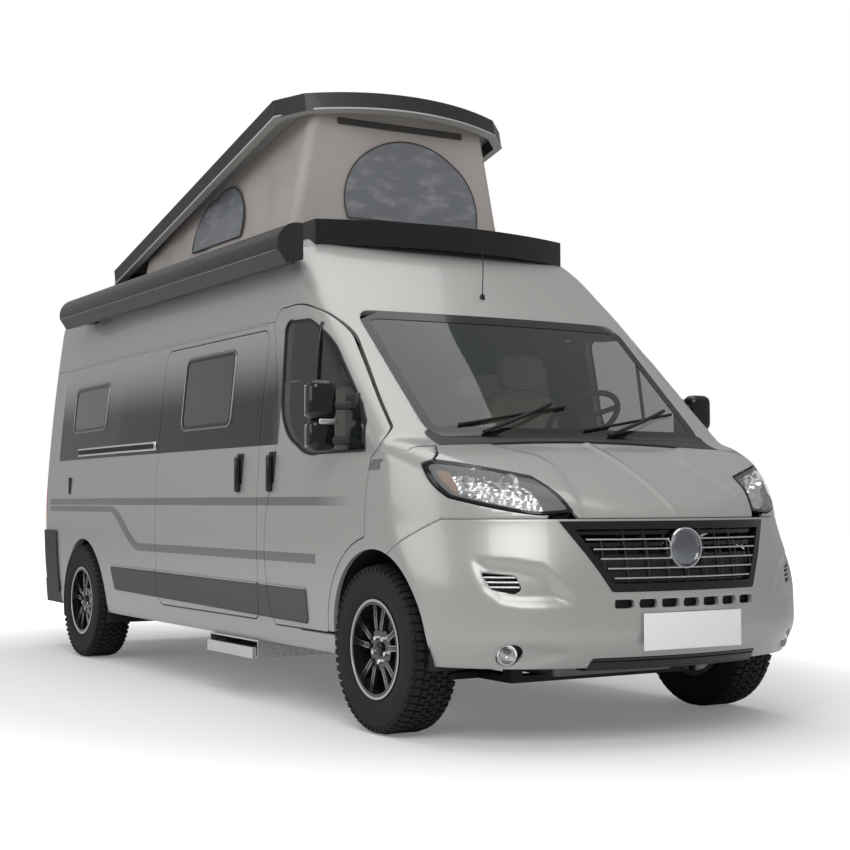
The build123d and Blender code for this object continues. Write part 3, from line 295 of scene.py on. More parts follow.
def smooth_curve(at, knots, values):
    """A curve through the values that never overshoots them."""
    knots, values = np.array(knots), np.array(values)
    step = np.diff(knots)
    rise = np.diff(values) / step
    slope = np.empty_like(values)
    slope[0], slope[-1] = rise[0], rise[-1]
    same = rise[:-1] * rise[1:] > 0
    slope[1:-1] = np.where(same, 2 * rise[:-1] * rise[1:] / np.where(same, rise[:-1] + rise[1:], 1), 0)
    k = np.clip(np.searchsorted(knots, at) - 1, 0, len(step) - 1)
    t = np.clip((at - knots[k]) / step[k], 0, 1)
    rest = 1 - t
    return (
        values[k] * (1 + 2 * t) * rest**2 + values[k + 1] * t * t * (3 - 2 * t)
        + step[k] * (slope[k] * t * rest**2 - slope[k + 1] * t * t * rest)
    )


def round_max(a, b, radius):
    """Both regions at once, with a round edge where they meet."""
    return np.minimum(np.maximum(a, b), -radius) + np.hypot(
        np.maximum(a + radius, 0), np.maximum(b + radius, 0),
    )


def round_min(a, b, radius):
    """Either region, with a round hollow where they meet."""
    return np.maximum(np.minimum(a, b), radius) - np.hypot(
        np.maximum(radius - a, 0), np.maximum(radius - b, 0),
    )


def section_outline():
    """The body's cross-section."""
    sill, side, belt, window, shoulder, gutter, edge = [
        (w * half_width, h * body_height) for w, h in section_shares
    ]
    sill = (sill[0], sill_z)
    flip = lambda p: (-p[0], p[1])
    return outline(
        sill, (side, belt), (window, shoulder), (gutter, edge), ((0, body_height), flip(edge)),
        (flip(gutter), flip(shoulder)), (flip(window), flip(belt)), (flip(side), flip(sill)),
    )


lookup_step = 0.01
lookup_x, lookup_z = np.meshgrid(
    np.arange(0, 1.4, lookup_step), np.arange(0, 2.9, lookup_step), indexing="ij",
)
section_distance = -inside(section_outline(), lookup_x, lookup_z)


def section_field(x, z):
    """Distance out of the cross-section."""
    u = np.clip(np.abs(x) / lookup_step, 0, section_distance.shape[0] - 1.001)
    v = np.clip(z / lookup_step, 0, section_distance.shape[1] - 1.001)
    i, j = u.astype(int), v.astype(int)
    s, t = u - i, v - j
    d = section_distance
    low = d[i, j] * (1 - s) + d[i + 1, j] * s
    high = d[i, j + 1] * (1 - s) + d[i + 1, j + 1] * s
    return low * (1 - t) + high * t


def plan_field(rows, x, y, z):
    """Distance out of the plan outline that the rows give at this height."""
    table = np.array(rows)
    share = z / body_height
    setback, bow, corner, width = (smooth_curve(share, table[:, 0], table[:, k]) for k in (1, 2, 3, 4))
    x = np.abs(x)
    half = width * half_width
    bow_y = nose_y + setback + bow
    corner_x = half - corner
    corner_y = bow_y - np.sqrt((bow - corner) ** 2 - corner_x**2)
    qx, qy = x - corner_x, y - corner_y
    in_corner = (qy < 0) & (corner_x * qy - (corner_y - bow_y) * qx > 0)
    ahead = np.hypot(x, y - bow_y) - bow
    return np.where(qy >= 0, x - half, np.where(in_corner, np.hypot(qx, qy) - corner, ahead))


bonnet_points = [(nose_y + a * cab_length, b * body_height) for a, b in bonnet_shares]
bonnet_centre_y, bonnet_centre_z, bonnet_radius = circle_through(*bonnet_points)


def bonnet_height(x, y):
    """Height of the bonnet's surface."""
    pivot_y = bonnet_points[2][0] + bonnet_sweep
    line_y = pivot_y - np.hypot(x, y - pivot_y)
    line_y = np.clip(line_y, bonnet_points[0][0] - 0.05, bonnet_points[2][0])
    return bonnet_centre_z + np.sqrt(bonnet_radius**2 - (line_y - bonnet_centre_y) ** 2)


def body_field(x, y, z):
    """Distance out of the whole body's outer form."""
    narrowing = rear_taper * np.clip((y - taper_y) / (tail_y - taper_y), 0, None)
    along = section_field(np.abs(x) + narrowing, z)
    along = round_max(along, y - tail_y + 0.014 * (x / half_width) ** 2, tail_corner)
    nose = round_max(plan_field(nose_rows, x, y, z), (z - bonnet_height(x, y)) * 0.85, shoulder_round)
    cab = np.maximum(plan_field(cab_rows, x, y, z) * 0.7, 0.5 * body_height - z)
    front = np.minimum(round_min(nose, cab, 0.03), cap_end_y - y)
    return round_max(along, front, 0.006)


halvings = 26


def shoot(origin, direction, reach):
    """The body's surface along each ray, and which rays start inside the body."""
    low = np.zeros(len(origin))
    high = np.full(len(origin), reach)
    started = body_field(*origin.T) < 0
    for _ in range(halvings):
        middle = (low + high) / 2
        within = body_field(*(origin + direction * middle[:, None]).T) < 0
        low = np.where(within, middle, low)
        high = np.where(within, high, middle)
    return origin + direction * low[:, None], started


def grid_faces(grid):
    """The four-sided faces of a grid of points, by the points' numbers."""
    index = np.arange(grid.size).reshape(grid.shape)
    corners = [index[:-1, :-1], index[1:, :-1], index[1:, 1:], index[:-1, 1:]]
    return np.stack(corners, axis=-1).reshape(-1, 4)


def grid_mesh(columns, rows, origin, direction, reach):
    """A grid of surface points, one for each column and row, with its faces."""
    u, v = np.meshgrid(columns, rows, indexing="ij")
    points, started = shoot(origin(u.ravel(), v.ravel()), direction(u.ravel(), v.ravel()), reach)
    faces = grid_faces(u)
    return points, faces[started[faces].all(axis=1)].tolist()


def stack(*columns):
    """Rows of three coordinates."""
    return np.stack(np.broadcast_arrays(*columns), axis=-1).astype(float)


def steps(start, end, size):
    """Evenly spaced values with about this step."""
    return np.linspace(start, end, max(2, int(abs(end - start) / size) + 1))


def side_grid(y0, y1, z0, z1, size, side=-1):
    """The flank on one side, by length and height."""
    return grid_mesh(
        steps(y0, y1, size), steps(z0, z1, size),
        lambda u, v: stack(0, u, v), lambda u, v: stack(side, np.zeros_like(u), 0), 1.4,
    )


def trim(mesh, field):
    """Keeps the part of a mesh where the field is positive, with new points on its edge."""
    points, faces = mesh
    value = field(points)
    kept = value > 0
    points = list(points)
    cuts = {}
    out = []

    def cut(a, b):
        key = (min(a, b), max(a, b))
        if key not in cuts:
            t = value[a] / (value[a] - value[b])
            cuts[key] = len(points)
            points.append(points[a] * (1 - t) + points[b] * t)
        return cuts[key]

    for face in faces:
        count = sum(bool(kept[i]) for i in face)
        if count == len(face):
            out.append(face)
        elif count:
            corners = []
            for a, b in zip(face, face[1:] + face[:1]):
                if kept[a]:
                    corners.append(a)
                if kept[a] != kept[b]:
                    corners.append(cut(a, b))
            out.append(corners)
    return np.array(points), out


def keep_inside(shape, grow=0.0, plane="side"):
    """A field for trim: inside an outline in the side or front view."""
    u, v = (1, 2) if plane == "side" else (0, 2)
    return lambda p: inside(shape, p[:, u], p[:, v]) + grow


def drop_inside(shape, grow=0.0, plane="side"):
    """A field for trim: outside an outline in the side or front view."""
    field = keep_inside(shape, grow, plane)
    return lambda p: -field(p)


def linked(name, data):
    """An object in the scene that shows this data."""
    obj = bpy.data.objects.new(name, data)
    bpy.context.scene.collection.objects.link(obj)
    return obj


def raw_object(name, points, faces):
    """A mesh object in the scene."""
    data = bpy.data.meshes.new(name)
    data.from_pydata([tuple(map(float, p)) for p in points], [], faces)
    data.validate()
    return linked(name, data)


form_centre = (0, 0, 1.1)
sheet_crease, edge_crease = math.radians(32), math.radians(50)


def finish_mesh(obj, centre):
    """Drops loose points and turns the faces away from a centre; sharp edges stay sharp."""
    mesh = bmesh.new()
    mesh.from_mesh(obj.data)
    bmesh.ops.remove_doubles(mesh, verts=mesh.verts, dist=1e-5)
    bmesh.ops.delete(mesh, geom=[v for v in mesh.verts if not v.link_faces], context="VERTS")
    mesh.normal_update()
    outward = sum(
        (f.calc_center_median() - Vector(centre)).dot(f.normal) * f.calc_area() for f in mesh.faces
    )
    if outward < 0:
        bmesh.ops.reverse_faces(mesh, faces=mesh.faces)
    mesh.to_mesh(obj.data)
    mesh.free()
    obj.data.shade_smooth()
    obj.data.set_sharp_from_angle(angle=sheet_crease)
    return obj


def round_edges(mesh, edges, size, segments=2, **settings):
    """Rounds these edges of a mesh."""
    bmesh.ops.bevel(
        mesh, geom=edges, offset=size, segments=segments, profile=0.5, affect="EDGES", **settings,
    )


def skin(name, mesh, material, body, nodes=(), depth=0.022, lip=0.002, lined=None):
    """A pressed panel: outer face, rounded lip and returned edge, lined where the inside shows."""
    obj = finish_mesh(raw_object(name, *mesh), form_centre)
    work = bmesh.new()
    work.from_mesh(obj.data)
    work.normal_update()
    rim = [e for e in work.edges if e.is_boundary]
    normals = {v: v.normal.copy() for v in work.verts}
    inner_faces = []
    if lined:
        copied = bmesh.ops.duplicate(work, geom=work.faces[:])
        pairs = copied["vert_map"]
        for v, n in normals.items():
            pairs[v].co = v.co - n * depth
        inner_faces = [g for g in copied["geom"] if isinstance(g, bmesh.types.BMFace)]
        bmesh.ops.reverse_faces(work, faces=inner_faces)
    extruded = bmesh.ops.extrude_edge_only(work, edges=rim)
    ring = [g for g in extruded["geom"] if isinstance(g, bmesh.types.BMVert)]
    sources = {}
    for v in ring:
        for e in v.link_edges:
            other = e.other_vert(v)
            if other in normals and (other.co - v.co).length < 1e-7:
                sources[v] = other
    for v in ring:
        if v in sources:
            v.co = v.co - normals[sources[v]] * depth
    work.normal_update()
    if lip:
        round_edges(work, [e for e in rim if e.is_valid], lip, clamp_overlap=True)
    for f in inner_faces:
        if f.is_valid:
            f.material_index = 1
    work.to_mesh(obj.data)
    work.free()
    obj.data.materials.append(material)
    if lined:
        obj.data.materials.append(lined)
    obj.data.shade_smooth()
    obj.data.set_sharp_from_angle(angle=edge_crease)
    place(obj, body, nodes)


def place(obj, body, nodes=()):
    """Ties a finished piece to its body, and to the solids that it stands for."""
    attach(obj, body)
    if nodes:
        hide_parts(*nodes)
    return obj


def paint_material():
    """Warm grey metallic paint with the dark window band and the grey side stripes."""
    s = Surface("body_paint", paint_grey, roughness=0.34, metallic=0.35, coat=0.5)
    s.set("Coat Roughness", 0.06)
    flake = s.noise(900.0, 1.0)
    base = s.blend(
        flake.ramp(0.35, 0.65), tuple(c * 0.94 for c in paint_grey), tuple(c * 1.06 for c in paint_grey)
    )
    side = (s.x < -0.6).maths("MAXIMUM", s.x > 0.6)
    on_flank = side * (s.y < 2.60) * (s.y > band_front_y)
    fade = s.z.ramp(1.93, 1.52) * s.y.ramp(band_front_y - 0.10, band_front_y + 0.10, 0.55, 1.0)
    band = on_flank * fade * (s.z > band_bottom_z)
    color = s.blend(band, base, band_black)
    upper = s.z.between(1.003, 1.045) * s.y.between(-1.95, 2.75) * s.y.ramp(-1.95, -1.45)
    middle = s.y.ramp(0.84, 1.37, 0.752, 0.977)
    half = s.y.ramp(0.80, 1.10, 0.023, 0.038).maths("MINIMUM", s.y.ramp(1.10, 1.40, 0.038, 0.018))
    off = (s.z - middle).maths("ABSOLUTE")
    lower = off.maths("LESS_THAN", half) * s.y.between(-1.505, 2.75)
    stripe = (upper + lower).maths("MINIMUM", 1.0) * side
    color = s.blend(stripe * 0.92, color, stripe_grey)
    s.set("Base Color", color)
    s.set("Roughness", flake.ramp(0.2, 0.8, 0.30, 0.38) - band * 0.16)
    s.set("Metallic", (band * -0.3) + 0.35)
    s.set("Coat Weight", (band * -0.4) + 0.5)
    return s.material


paint_grey = (0.385, 0.385, 0.370)
band_black = (0.012, 0.012, 0.013)
stripe_grey = (0.15, 0.15, 0.146)
band_bottom_z = 1.306
band_front_y = -1.06
paint = paint_material()
gloss_black = plastic("gloss_black", (0.008, 0.008, 0.009), 0.12, coat=0.7)
lining = plastic("lining", (0.09, 0.09, 0.088), 0.7, grain=0.4)
door_tip_y = -2.105
door_length = 1.220
door_bottom_z = 0.412
door_height = 1.588
front_arch = (-2.065, 0.399, 0.414)
rear_arch = (1.962, 0.343, 0.437)
arch_clearance = 0.056
door_shares = {
    "rear_foot": (0.893, 0.000), "rear_bulge": (0.957, 0.181), "rear_belt": (0.873, 0.484),
    "rear_upper": (0.906, 0.723), "rear_top": (1.000, 0.956), "top_corner": (0.967, 0.991),
    "top": (0.898, 1.000), "top_middle": (0.717, 0.995), "pillar_top": (0.571, 0.959),
    "pillar_bend": (0.471, 0.911), "pillar": (0.389, 0.857), "pillar_foot": (0.139, 0.673),
    "tip_top": (0.025, 0.591), "tip": (0.000, 0.537), "tip_foot": (0.062, 0.506),
    "front": (0.088, 0.408), "flare": (0.093, 0.300),
}


def placed(shares, u, du, v, dv):
    """A table of shares as points."""
    return {name: (u + du * a, v + dv * b) for name, (a, b) in shares.items()}


def door_outline():
    """The cab door, round the front wheel arch."""
    p = placed(door_shares, door_tip_y, door_length, door_bottom_z, door_height)
    arch_y, arch_z, radius = front_arch
    reach = radius + arch_clearance
    top_y = p["flare"][0]
    top_z = arch_z + math.sqrt(reach**2 - (top_y - arch_y) ** 2)
    foot_y = arch_y + math.sqrt(reach**2 - (door_bottom_z - arch_z) ** 2)
    half_turn = math.atan2(top_z - arch_z, top_y - arch_y) / 2
    via = (arch_y + reach * math.cos(half_turn), arch_z + reach * math.sin(half_turn))
    return outline(
        p["rear_foot"], (p["rear_bulge"], p["rear_belt"]), (p["rear_upper"], p["rear_top"]),
        (p["top_corner"], p["top"]), (p["top_middle"], p["pillar_top"]), (p["pillar_bend"], p["pillar"]),
        p["pillar_foot"], p["tip_top"], p["tip"], p["tip_foot"], p["front"], (top_y, top_z),
        (via, (foot_y, door_bottom_z)),
    )


door_shape = door_outline()
slide_y = front_axle_y + 1.208
slide_shape = rounded(slide_y, slide_y + 1.423, 0.425, 1.905, 0.070)
slide_glass = rounded(front_axle_y + 1.598, front_axle_y + 2.294, 1.425, 1.832, 0.055)
rear_glass = rounded(front_axle_y + 3.627, front_axle_y + 4.351, 1.490, 1.790, 0.055)
left_glass = rounded(front_axle_y + 1.400, front_axle_y + 2.500, 1.425, 1.832, 0.055)
rear_bumper_y = tail_y - 0.430
rear_bumper_top = 0.480
tail_lamp_low, tail_lamp_high = 0.690, 1.130
corner_y = 2.9
door_middle_y = door_tip_y + door_length * 2 / 3


def outside_arch(arch, grow=0.0):
    """A field for trim: outside a wheel arch."""
    centre_y, centre_z, radius = arch

    def field(p):
        round_part = np.hypot(p[:, 1] - centre_y, p[:, 2] - centre_z) - radius
        below = np.maximum(np.abs(p[:, 1] - centre_y) - radius, p[:, 2] - centre_z)
        return np.minimum(round_part, below) - grow

    return field


def trimmed(mesh, *fields):
    """A mesh trimmed by each field in turn."""
    for field in fields:
        mesh = trim(mesh, field)
    return mesh


def flat(index, sign, place_at):
    """A field for trim: beyond a plane across one axis."""
    return lambda p: sign * (p[:, index] - place_at)


def within_width(half):
    """A field for trim: nearer to the van's middle line than this."""
    return lambda p: half - np.abs(p[:, 0])


def either(*fields):
    """A field for trim: inside any of the regions."""
    return lambda p: np.max([field(p) for field in fields], axis=0)


def all_of(*fields):
    """A field for trim: inside all of the regions."""
    return lambda p: np.min([field(p) for field in fields], axis=0)


def none_of(*fields):
    """A field for trim: outside the region that all the given fields share."""
    field = all_of(*fields)
    return lambda p: -field(p)


coarse = 0.022
sides = (("right", -1), ("left", 1))
for side_name, side in sides:
    flank = side_grid(door_tip_y - 0.02, 3.0, sill_z + 0.001, roof_seam_z - gap, coarse * 0.8, side)
    behind_door = either(
        flat(1, 1, door_middle_y), all_of(flat(1, 1, door_tip_y), flat(2, -1, door_bottom_z - 0.008))
    )
    lamp_hole = rounded(2.5, 3.2, tail_lamp_low - gap, tail_lamp_high + gap, 0.004)
    flank = trimmed(
        flank, behind_door, drop_inside(door_shape, gap), outside_arch(front_arch),
        outside_arch(rear_arch),
        none_of(flat(1, 1, rear_bumper_y - gap), flat(2, -1, rear_bumper_top + gap)),
        none_of(flat(1, 1, tail_y - 0.150 - gap), keep_inside(lamp_hole)),
        none_of(flat(1, 1, corner_y), within_width(0.915)),
    )
    if side < 0:
        flank = trimmed(flank, drop_inside(slide_shape, gap), drop_inside(rear_glass, 0))
        door = trimmed(
            side_grid(slide_y - 0.03, slide_y + 1.45, 0.40, 1.93, coarse * 0.8, side),
            keep_inside(slide_shape, -gap), drop_inside(slide_glass, 0),
        )
        skin("sliding_door_skin", door, paint, "van", ["sliding_door"], lined=lining, depth=0.05)
    else:
        flank = trimmed(flank, drop_inside(left_glass, 0), drop_inside(rear_glass, 0))
    skin(f"flank_{side_name}", flank, paint, "van", [f"side_wall_{side_name}"], lined=lining, depth=0.05)


def shift_in(obj, distance):
    """Moves a sheet inwards along its normals."""
    normals = [v.normal.copy() for v in obj.data.vertices]
    for v, n in zip(obj.data.vertices, normals):
        v.co = v.co - n * distance


def sheet(name, mesh, sink, material, body, nodes=(), thickness=0.0):
    """A trimmed sheet moved inwards by its sink, given a material and, where asked, a thickness."""
    obj = finish_mesh(raw_object(name, *mesh), form_centre)
    shift_in(obj, sink)
    if thickness:
        thick = obj.modifiers.new("thickness", "SOLIDIFY")
        thick.thickness = thickness
        thick.offset = -1
    obj.data.materials.append(material)
    return place(obj, body, nodes)


def pane(name, mesh, shape, plane, body, nodes, inset=0.004, frame_width=0.0, glass=None):
    """A window: its glass, and a flat black frame round it where the real one has one."""
    glass_part = trim(mesh, keep_inside(shape, -frame_width, plane))
    sheet(name, glass_part, inset, glass, body, nodes)
    if frame_width:
        ring = trimmed(mesh, keep_inside(shape, 0.0, plane), drop_inside(shape, -frame_width, plane))
        sheet(name + "_frame", ring, inset - 0.0025, gloss_black, body)

# Cab doors and side windows: pressed steel doors hung on the front pillars, with toughened tinted panes.
# The panes behind the cab are glued into flat black frames that stand a little proud of the paint.
def glazing(name, color, alpha):
    """Tinted glass."""
    s = Surface(name, color, roughness=0.03, coat=1.0, alpha=alpha)
    s.set("Coat Roughness", 0.02)
    return s.material


privacy_glass = glazing("privacy_glass", (0.006, 0.007, 0.008), 0.96)
cab_glass = glazing("cab_glass", (0.010, 0.014, 0.013), 0.62)
door_window_shares = {
    "front_foot": (0.105, 0.528), "front": (0.125, 0.610), "pillar_foot": (0.184, 0.665),
    "pillar": (0.381, 0.806), "pillar_bend": (0.512, 0.889), "pillar_top": (0.668, 0.945),
    "top": (0.816, 0.950), "top_corner": (0.868, 0.942), "rear_top": (0.876, 0.912),
    "rear": (0.852, 0.723), "rear_bend": (0.815, 0.632), "rear_low": (0.684, 0.559),
    "foot_bend": (0.602, 0.533), "foot": (0.480, 0.528),
}


def door_window_outline():
    """The glass of the cab door."""
    p = placed(door_window_shares, door_tip_y, door_length, door_bottom_z, door_height)
    return outline(
        p["front_foot"], p["front"], p["pillar_foot"], p["pillar"], (p["pillar_bend"], p["pillar_top"]),
        p["top"], (p["top_corner"], p["rear_top"]), p["rear"], (p["rear_bend"], p["rear_low"]),
        (p["foot_bend"], p["foot"]),
    )


door_glass = door_window_outline()
fine = 0.014
for side_name, side in sides:
    body = f"cab_door_{side_name}_body"
    whole = side_grid(door_tip_y - 0.02, door_tip_y + door_length + 0.02, 0.40, 2.02, fine, side)
    door = trimmed(whole, keep_inside(door_shape, -gap), drop_inside(door_glass, 0))
    skin(
        f"cab_door_{side_name}_skin", door, paint, body, [f"cab_door_{side_name}"], lined=lining,
        depth=0.04,
    )
    pane(
        f"cab_door_{side_name}_pane", whole, door_glass, "side", body, [f"cab_glass_{side_name}"],
        frame_width=0.012, glass=cab_glass,
    )

for name, side, shape in (
    ("slide_pane", -1, slide_glass), ("rear_right_pane", -1, rear_glass),
    ("left_pane", 1, left_glass), ("rear_left_pane", 1, rear_glass),
):
    (y0, z0), (y1, z1) = shape.min(axis=0), shape.max(axis=0)
    around_pane = side_grid(y0 - 0.02, y1 + 0.02, z0 - 0.02, z1 + 0.02, coarse, side)
    pane(
        name, around_pane, shape, "side", "van", ["side_windows"], inset=-0.003, frame_width=0.022,
        glass=privacy_glass,
    )

# Roof behind the cab: one pressed steel skin, welded to the flanks along the seam above the doors and
# open at the tail for the rear doors.
def arch_grid(y0, y1, z0, size):
    """Flanks and roof in one sheet, by length and by turn about the van's middle line."""
    corner = math.atan2(half_width, z0 - roof_centre_z)
    return grid_mesh(
        steps(y0, y1, size), steps(-corner, corner, size / 0.95),
        lambda u, v: stack(0, u, roof_centre_z), lambda u, v: stack(np.sin(v), 0, np.cos(v)), 2.2,
    )


roof_centre_z = 1.25
rear_door_hole = rounded(-0.913, 0.913, 0.497, 2.278, 0.043)
roof = arch_grid(cap_end_y + gap / 2, 3.0, roof_seam_z, coarse)
rear_hole_field = none_of(keep_inside(rear_door_hole, 0, "front"), flat(1, 1, 2.88))
roof = trimmed(roof, flat(2, 1, roof_seam_z), rear_hole_field, drop_inside(door_shape, gap))
skin("roof_skin", roof, paint, "van", ["roof"], lined=lining, depth=0.03)

# Front frame: a steel pressing of pillars, windscreen surround and cap, with a moulded black cowl at its
# foot. The laminated, green-tinted windscreen is glued into it behind a black border.
def front_grid(angle, z0, z1, size, centre_y=-1.55):
    """The front, by turn about an upright line inside the cab and by height."""
    return grid_mesh(
        steps(-angle, angle, size / 1.2), steps(z0, z1, size),
        lambda u, v: stack(0, centre_y, v), lambda u, v: stack(np.sin(u), -np.cos(u), 0), 2.2,
    )


def top_grid(x0, x1, y0, y1, size, z0=0.7):
    """The bonnet or roof, from above."""
    return grid_mesh(
        steps(x0, x1, size), steps(y0, y1, size),
        lambda u, v: stack(u, v, z0), lambda u, v: stack(np.zeros_like(u), 0, 1), 2.0,
    )


dark_plastic = plastic("dark_plastic", (0.035, 0.035, 0.037), 0.5, grain=0.4)
screen_glass = glazing("screen_glass", (0.012, 0.022, 0.018), 0.60)
screen_shape = rounded(-0.786, 0.786, 1.312, 1.953, 0.070)
bonnet_rear_y = front_axle_y - 0.219
cap_seam_z = 2.335
cowl_top = 1.345
cap = front_grid(1.9, 1.16, cap_seam_z, fine * 1.1, -0.87)
frame_mesh = trimmed(
    cap, flat(1, -1, cap_end_y - gap / 2), drop_inside(screen_shape, 0, "front"),
    drop_inside(door_shape, gap),
    none_of(flat(1, 1, door_middle_y - 0.02), flat(2, -1, roof_seam_z)),
    flat(1, 1, bonnet_rear_y + gap),
)
cowl_field = all_of(flat(2, -1, cowl_top), within_width(0.80))
skin(
    "front_frame_skin", trim(frame_mesh, none_of(cowl_field)), paint, "van", ["front_frame"],
    lined=lining, depth=0.03,
)
skin("cowl", trim(frame_mesh, cowl_field), dark_plastic, "van", depth=0.03)
cap_top = trim(
    top_grid(-0.98, 0.98, -1.45, cap_end_y - gap / 2, fine * 1.3, 1.5), flat(2, 1, cap_seam_z),
)
skin("cab_cap_skin", cap_top, paint, "van", lined=lining, depth=0.03, lip=0)
screen = front_grid(1.25, 1.25, 2.0, fine * 1.2, -1.25)
pane(
    "windscreen_pane", screen, screen_shape, "front", "van", ["windscreen"], inset=0.002,
    frame_width=0.045, glass=screen_glass,
)

# Bonnet, wings and bumper: pressed steel bonnet and wings, and a painted plastic bumper moulded with
# hollows round the vents, the fog lamps and the plate. A gloss black skid closes its lower edge.
bumper_top_z = 0.948
matte_black = plastic("matte_black", (0.018, 0.018, 0.019), 0.6, grain=0.5)
lamp_shares = {
    "inner": (0.000, 0.045), "brow_rise": (0.065, 0.350), "brow": (0.160, 0.700),
    "brow_middle": (0.500, 0.845), "tip_top": (0.920, 1.000), "tip": (1.000, 0.940),
    "side": (0.985, 0.620), "side_foot": (0.900, 0.310), "foot": (0.550, 0.085),
    "inner_foot": (0.285, 0.000),
}
lamp_box = (0.491, 0.456, 0.964, 0.236)


def lamp_outline():
    """The left headlamp in the front view, as width and height."""
    p = placed(lamp_shares, *lamp_box)
    return outline(
        p["inner"], (p["brow_rise"], p["brow"]), (p["brow_middle"], p["tip_top"]), p["tip"],
        (p["side"], p["side_foot"]), (p["foot"], p["inner_foot"]),
    )


def bonnet_outline():
    """The bonnet's edge in the front view, from one lamp round to the other."""
    p = placed(lamp_shares, *lamp_box)
    seam = (0.765, 1.312)
    right = outline(
        (0, bumper_top_z), (p["inner"][0], bumper_top_z), p["inner"], (p["brow_rise"], p["brow"]),
        (p["brow_middle"], p["tip_top"]), seam, (seam[0], 2.6), (0, 2.6),
    )
    left = right[::-1] * np.array([-1, 1])
    return np.concatenate([right[:-1], left[:-1]])


lamp_shape = lamp_outline()
bonnet_shape = bonnet_outline()
crease_shape = np.array([
    (0, -2.0), (0.650, -2.0), (0.650, -2.20), (0.547, -2.276), (0.468, -2.388), (0.408, -2.434),
    (0.392, -2.525), (0.414, -2.623), (0.444, -2.698), (0.470, -2.85), (0.470, -3.1), (0, -3.1),
])
scoop_shape = np.array([
    (0.885, 0.800), (0.868, 0.655), (0.812, 0.594), (0.737, 0.580), (0.520, 0.582), (0.575, 0.690),
    (0.640, 0.765), (0.749, 0.790),
])
fog_hollow = np.array([
    (0.835, 0.420), (0.770, 0.458), (0.640, 0.440), (0.500, 0.408), (0.560, 0.372), (0.690, 0.325),
    (0.800, 0.335),
])
vent_shape = np.array([(0.855, 0.730), (0.742, 0.717), (0.725, 0.658), (0.752, 0.639), (0.825, 0.658)])
plate_shape = rounded(-0.266, 0.286, 0.392, 0.566, 0.004)
plate_seat_y = -2.990
crease_depth, scoop_depth, fog_depth = 0.006, 0.026, 0.016
fog_centre = (0.761, 0.389)
fog_radius = 0.046


def soft_step(value, width):
    """0 outside, 1 further in than the width."""
    t = np.clip(value / width, 0, 1)
    return t * t * (3 - 2 * t)


def press_bonnet(mesh):
    """The middle of the bonnet lies a little lower than its shoulders."""
    points, faces = mesh
    points = points.copy()
    within = inside(crease_shape, np.abs(points[:, 0]), points[:, 1])
    points[:, 2] -= crease_depth * soft_step(within + 0.004, 0.035)
    return points, faces


def press_depth(x, z):
    """How far the bumper's hollows lie behind its main form."""
    x = np.abs(x)
    scoop = scoop_depth * soft_step(inside(scoop_shape, x, z), 0.055)
    return scoop + fog_depth * soft_step(inside(fog_hollow, x, z), 0.04)


def press_bumper(mesh):
    """The bumper's front with its hollows, and flat where the plate sits."""
    points, faces = mesh
    points = points.copy()
    points[:, 1] += press_depth(points[:, 0], points[:, 2])
    on_plate = inside(plate_shape, points[:, 0], points[:, 2]) > 0
    points[on_plate, 1] = np.maximum(points[on_plate, 1], plate_seat_y)
    return points, faces


def nose_path(places, lift=0.0):
    """Points on the bumper's front at these widths and heights, lifted forwards."""
    x, z = np.array(places, float).T
    points, _ = shoot(stack(x, -2.2, z), stack(np.zeros_like(x), -1, 0), 1.0)
    points[:, 1] += press_depth(x, z) - lift
    return points


bonnet_top = top_grid(-0.98, 0.98, -2.98, bonnet_rear_y - gap, fine)
lamp_pair = (lamp_shape, lamp_shape * np.array([-1, 1]))


def drop_each(shapes, grow=0.0):
    """Fields for trim: outside each of these outlines in the front view."""
    return [drop_inside(shape, grow, "front") for shape in shapes]


bonnet_mesh = trimmed(
    press_bonnet(bonnet_top), keep_inside(bonnet_shape, -gap, "front"), *drop_each(lamp_pair, 0.004),
)
skin("bonnet_skin", bonnet_mesh, paint, "bonnet_body", ["bonnet"])
bumper_seam = outline(
    (-1.2, -0.2), (-2.065, -0.2), (-2.065, 0.399 + 0.414 * 0.8),
    (nose_y + 0.565 - 0.056, bumper_top_z), (-3.2, bumper_top_z), (-3.2, -0.2),
)
for side_name, side in sides:
    wing = side_grid(-2.80, door_middle_y, 0.40, 1.34, fine, side)
    wing = trimmed(
        wing, drop_inside(door_shape, gap), drop_inside(bumper_seam, gap / 2),
        outside_arch(front_arch), drop_inside(bonnet_shape, gap, "front"), *drop_each(lamp_pair, 0.003),
        none_of(flat(1, 1, bonnet_rear_y - gap), flat(2, 1, 1.16), within_width(0.95)),
        none_of(flat(1, 1, door_tip_y), flat(2, -1, 0.42)),
    )
    wing = trim(wing, none_of(flat(1, 1, bonnet_rear_y), flat(2, 1, 1.235)))
    skin(f"wing_{side_name}", wing, paint, "van", ["front_wings"] if side < 0 else [])
grille_shape = outline((-0.385, 0.645), (0.385, 0.645), (0.560, 0.938), (-0.560, 0.938))
skid_shape = outline((-0.500, 0.0), (0.500, 0.0), (0.444, 0.372), (-0.444, 0.372))
nose = press_bumper(front_grid(2.0, sill_z - 0.015, bumper_top_z + 0.03, fine))
slot_count, slot_pitch, slot_width = 7, 0.1103, 0.088
slots = []
for k in range(slot_count):
    slot_start = -0.375 + k * slot_pitch
    slots.append(rounded(slot_start, slot_start + slot_width, 0.578, 0.615, 0.006))
round_hole = np.linspace(0, math.tau, 32, endpoint=False)
fog_holes = [
    np.array([
        (side * fog_centre[0] + fog_radius * math.cos(t), fog_centre[1] + fog_radius * math.sin(t))
        for t in round_hole
    ])
    for side in (-1, 1)
]
vents = [vent_shape, (vent_shape * np.array([-1, 1]))[::-1]]
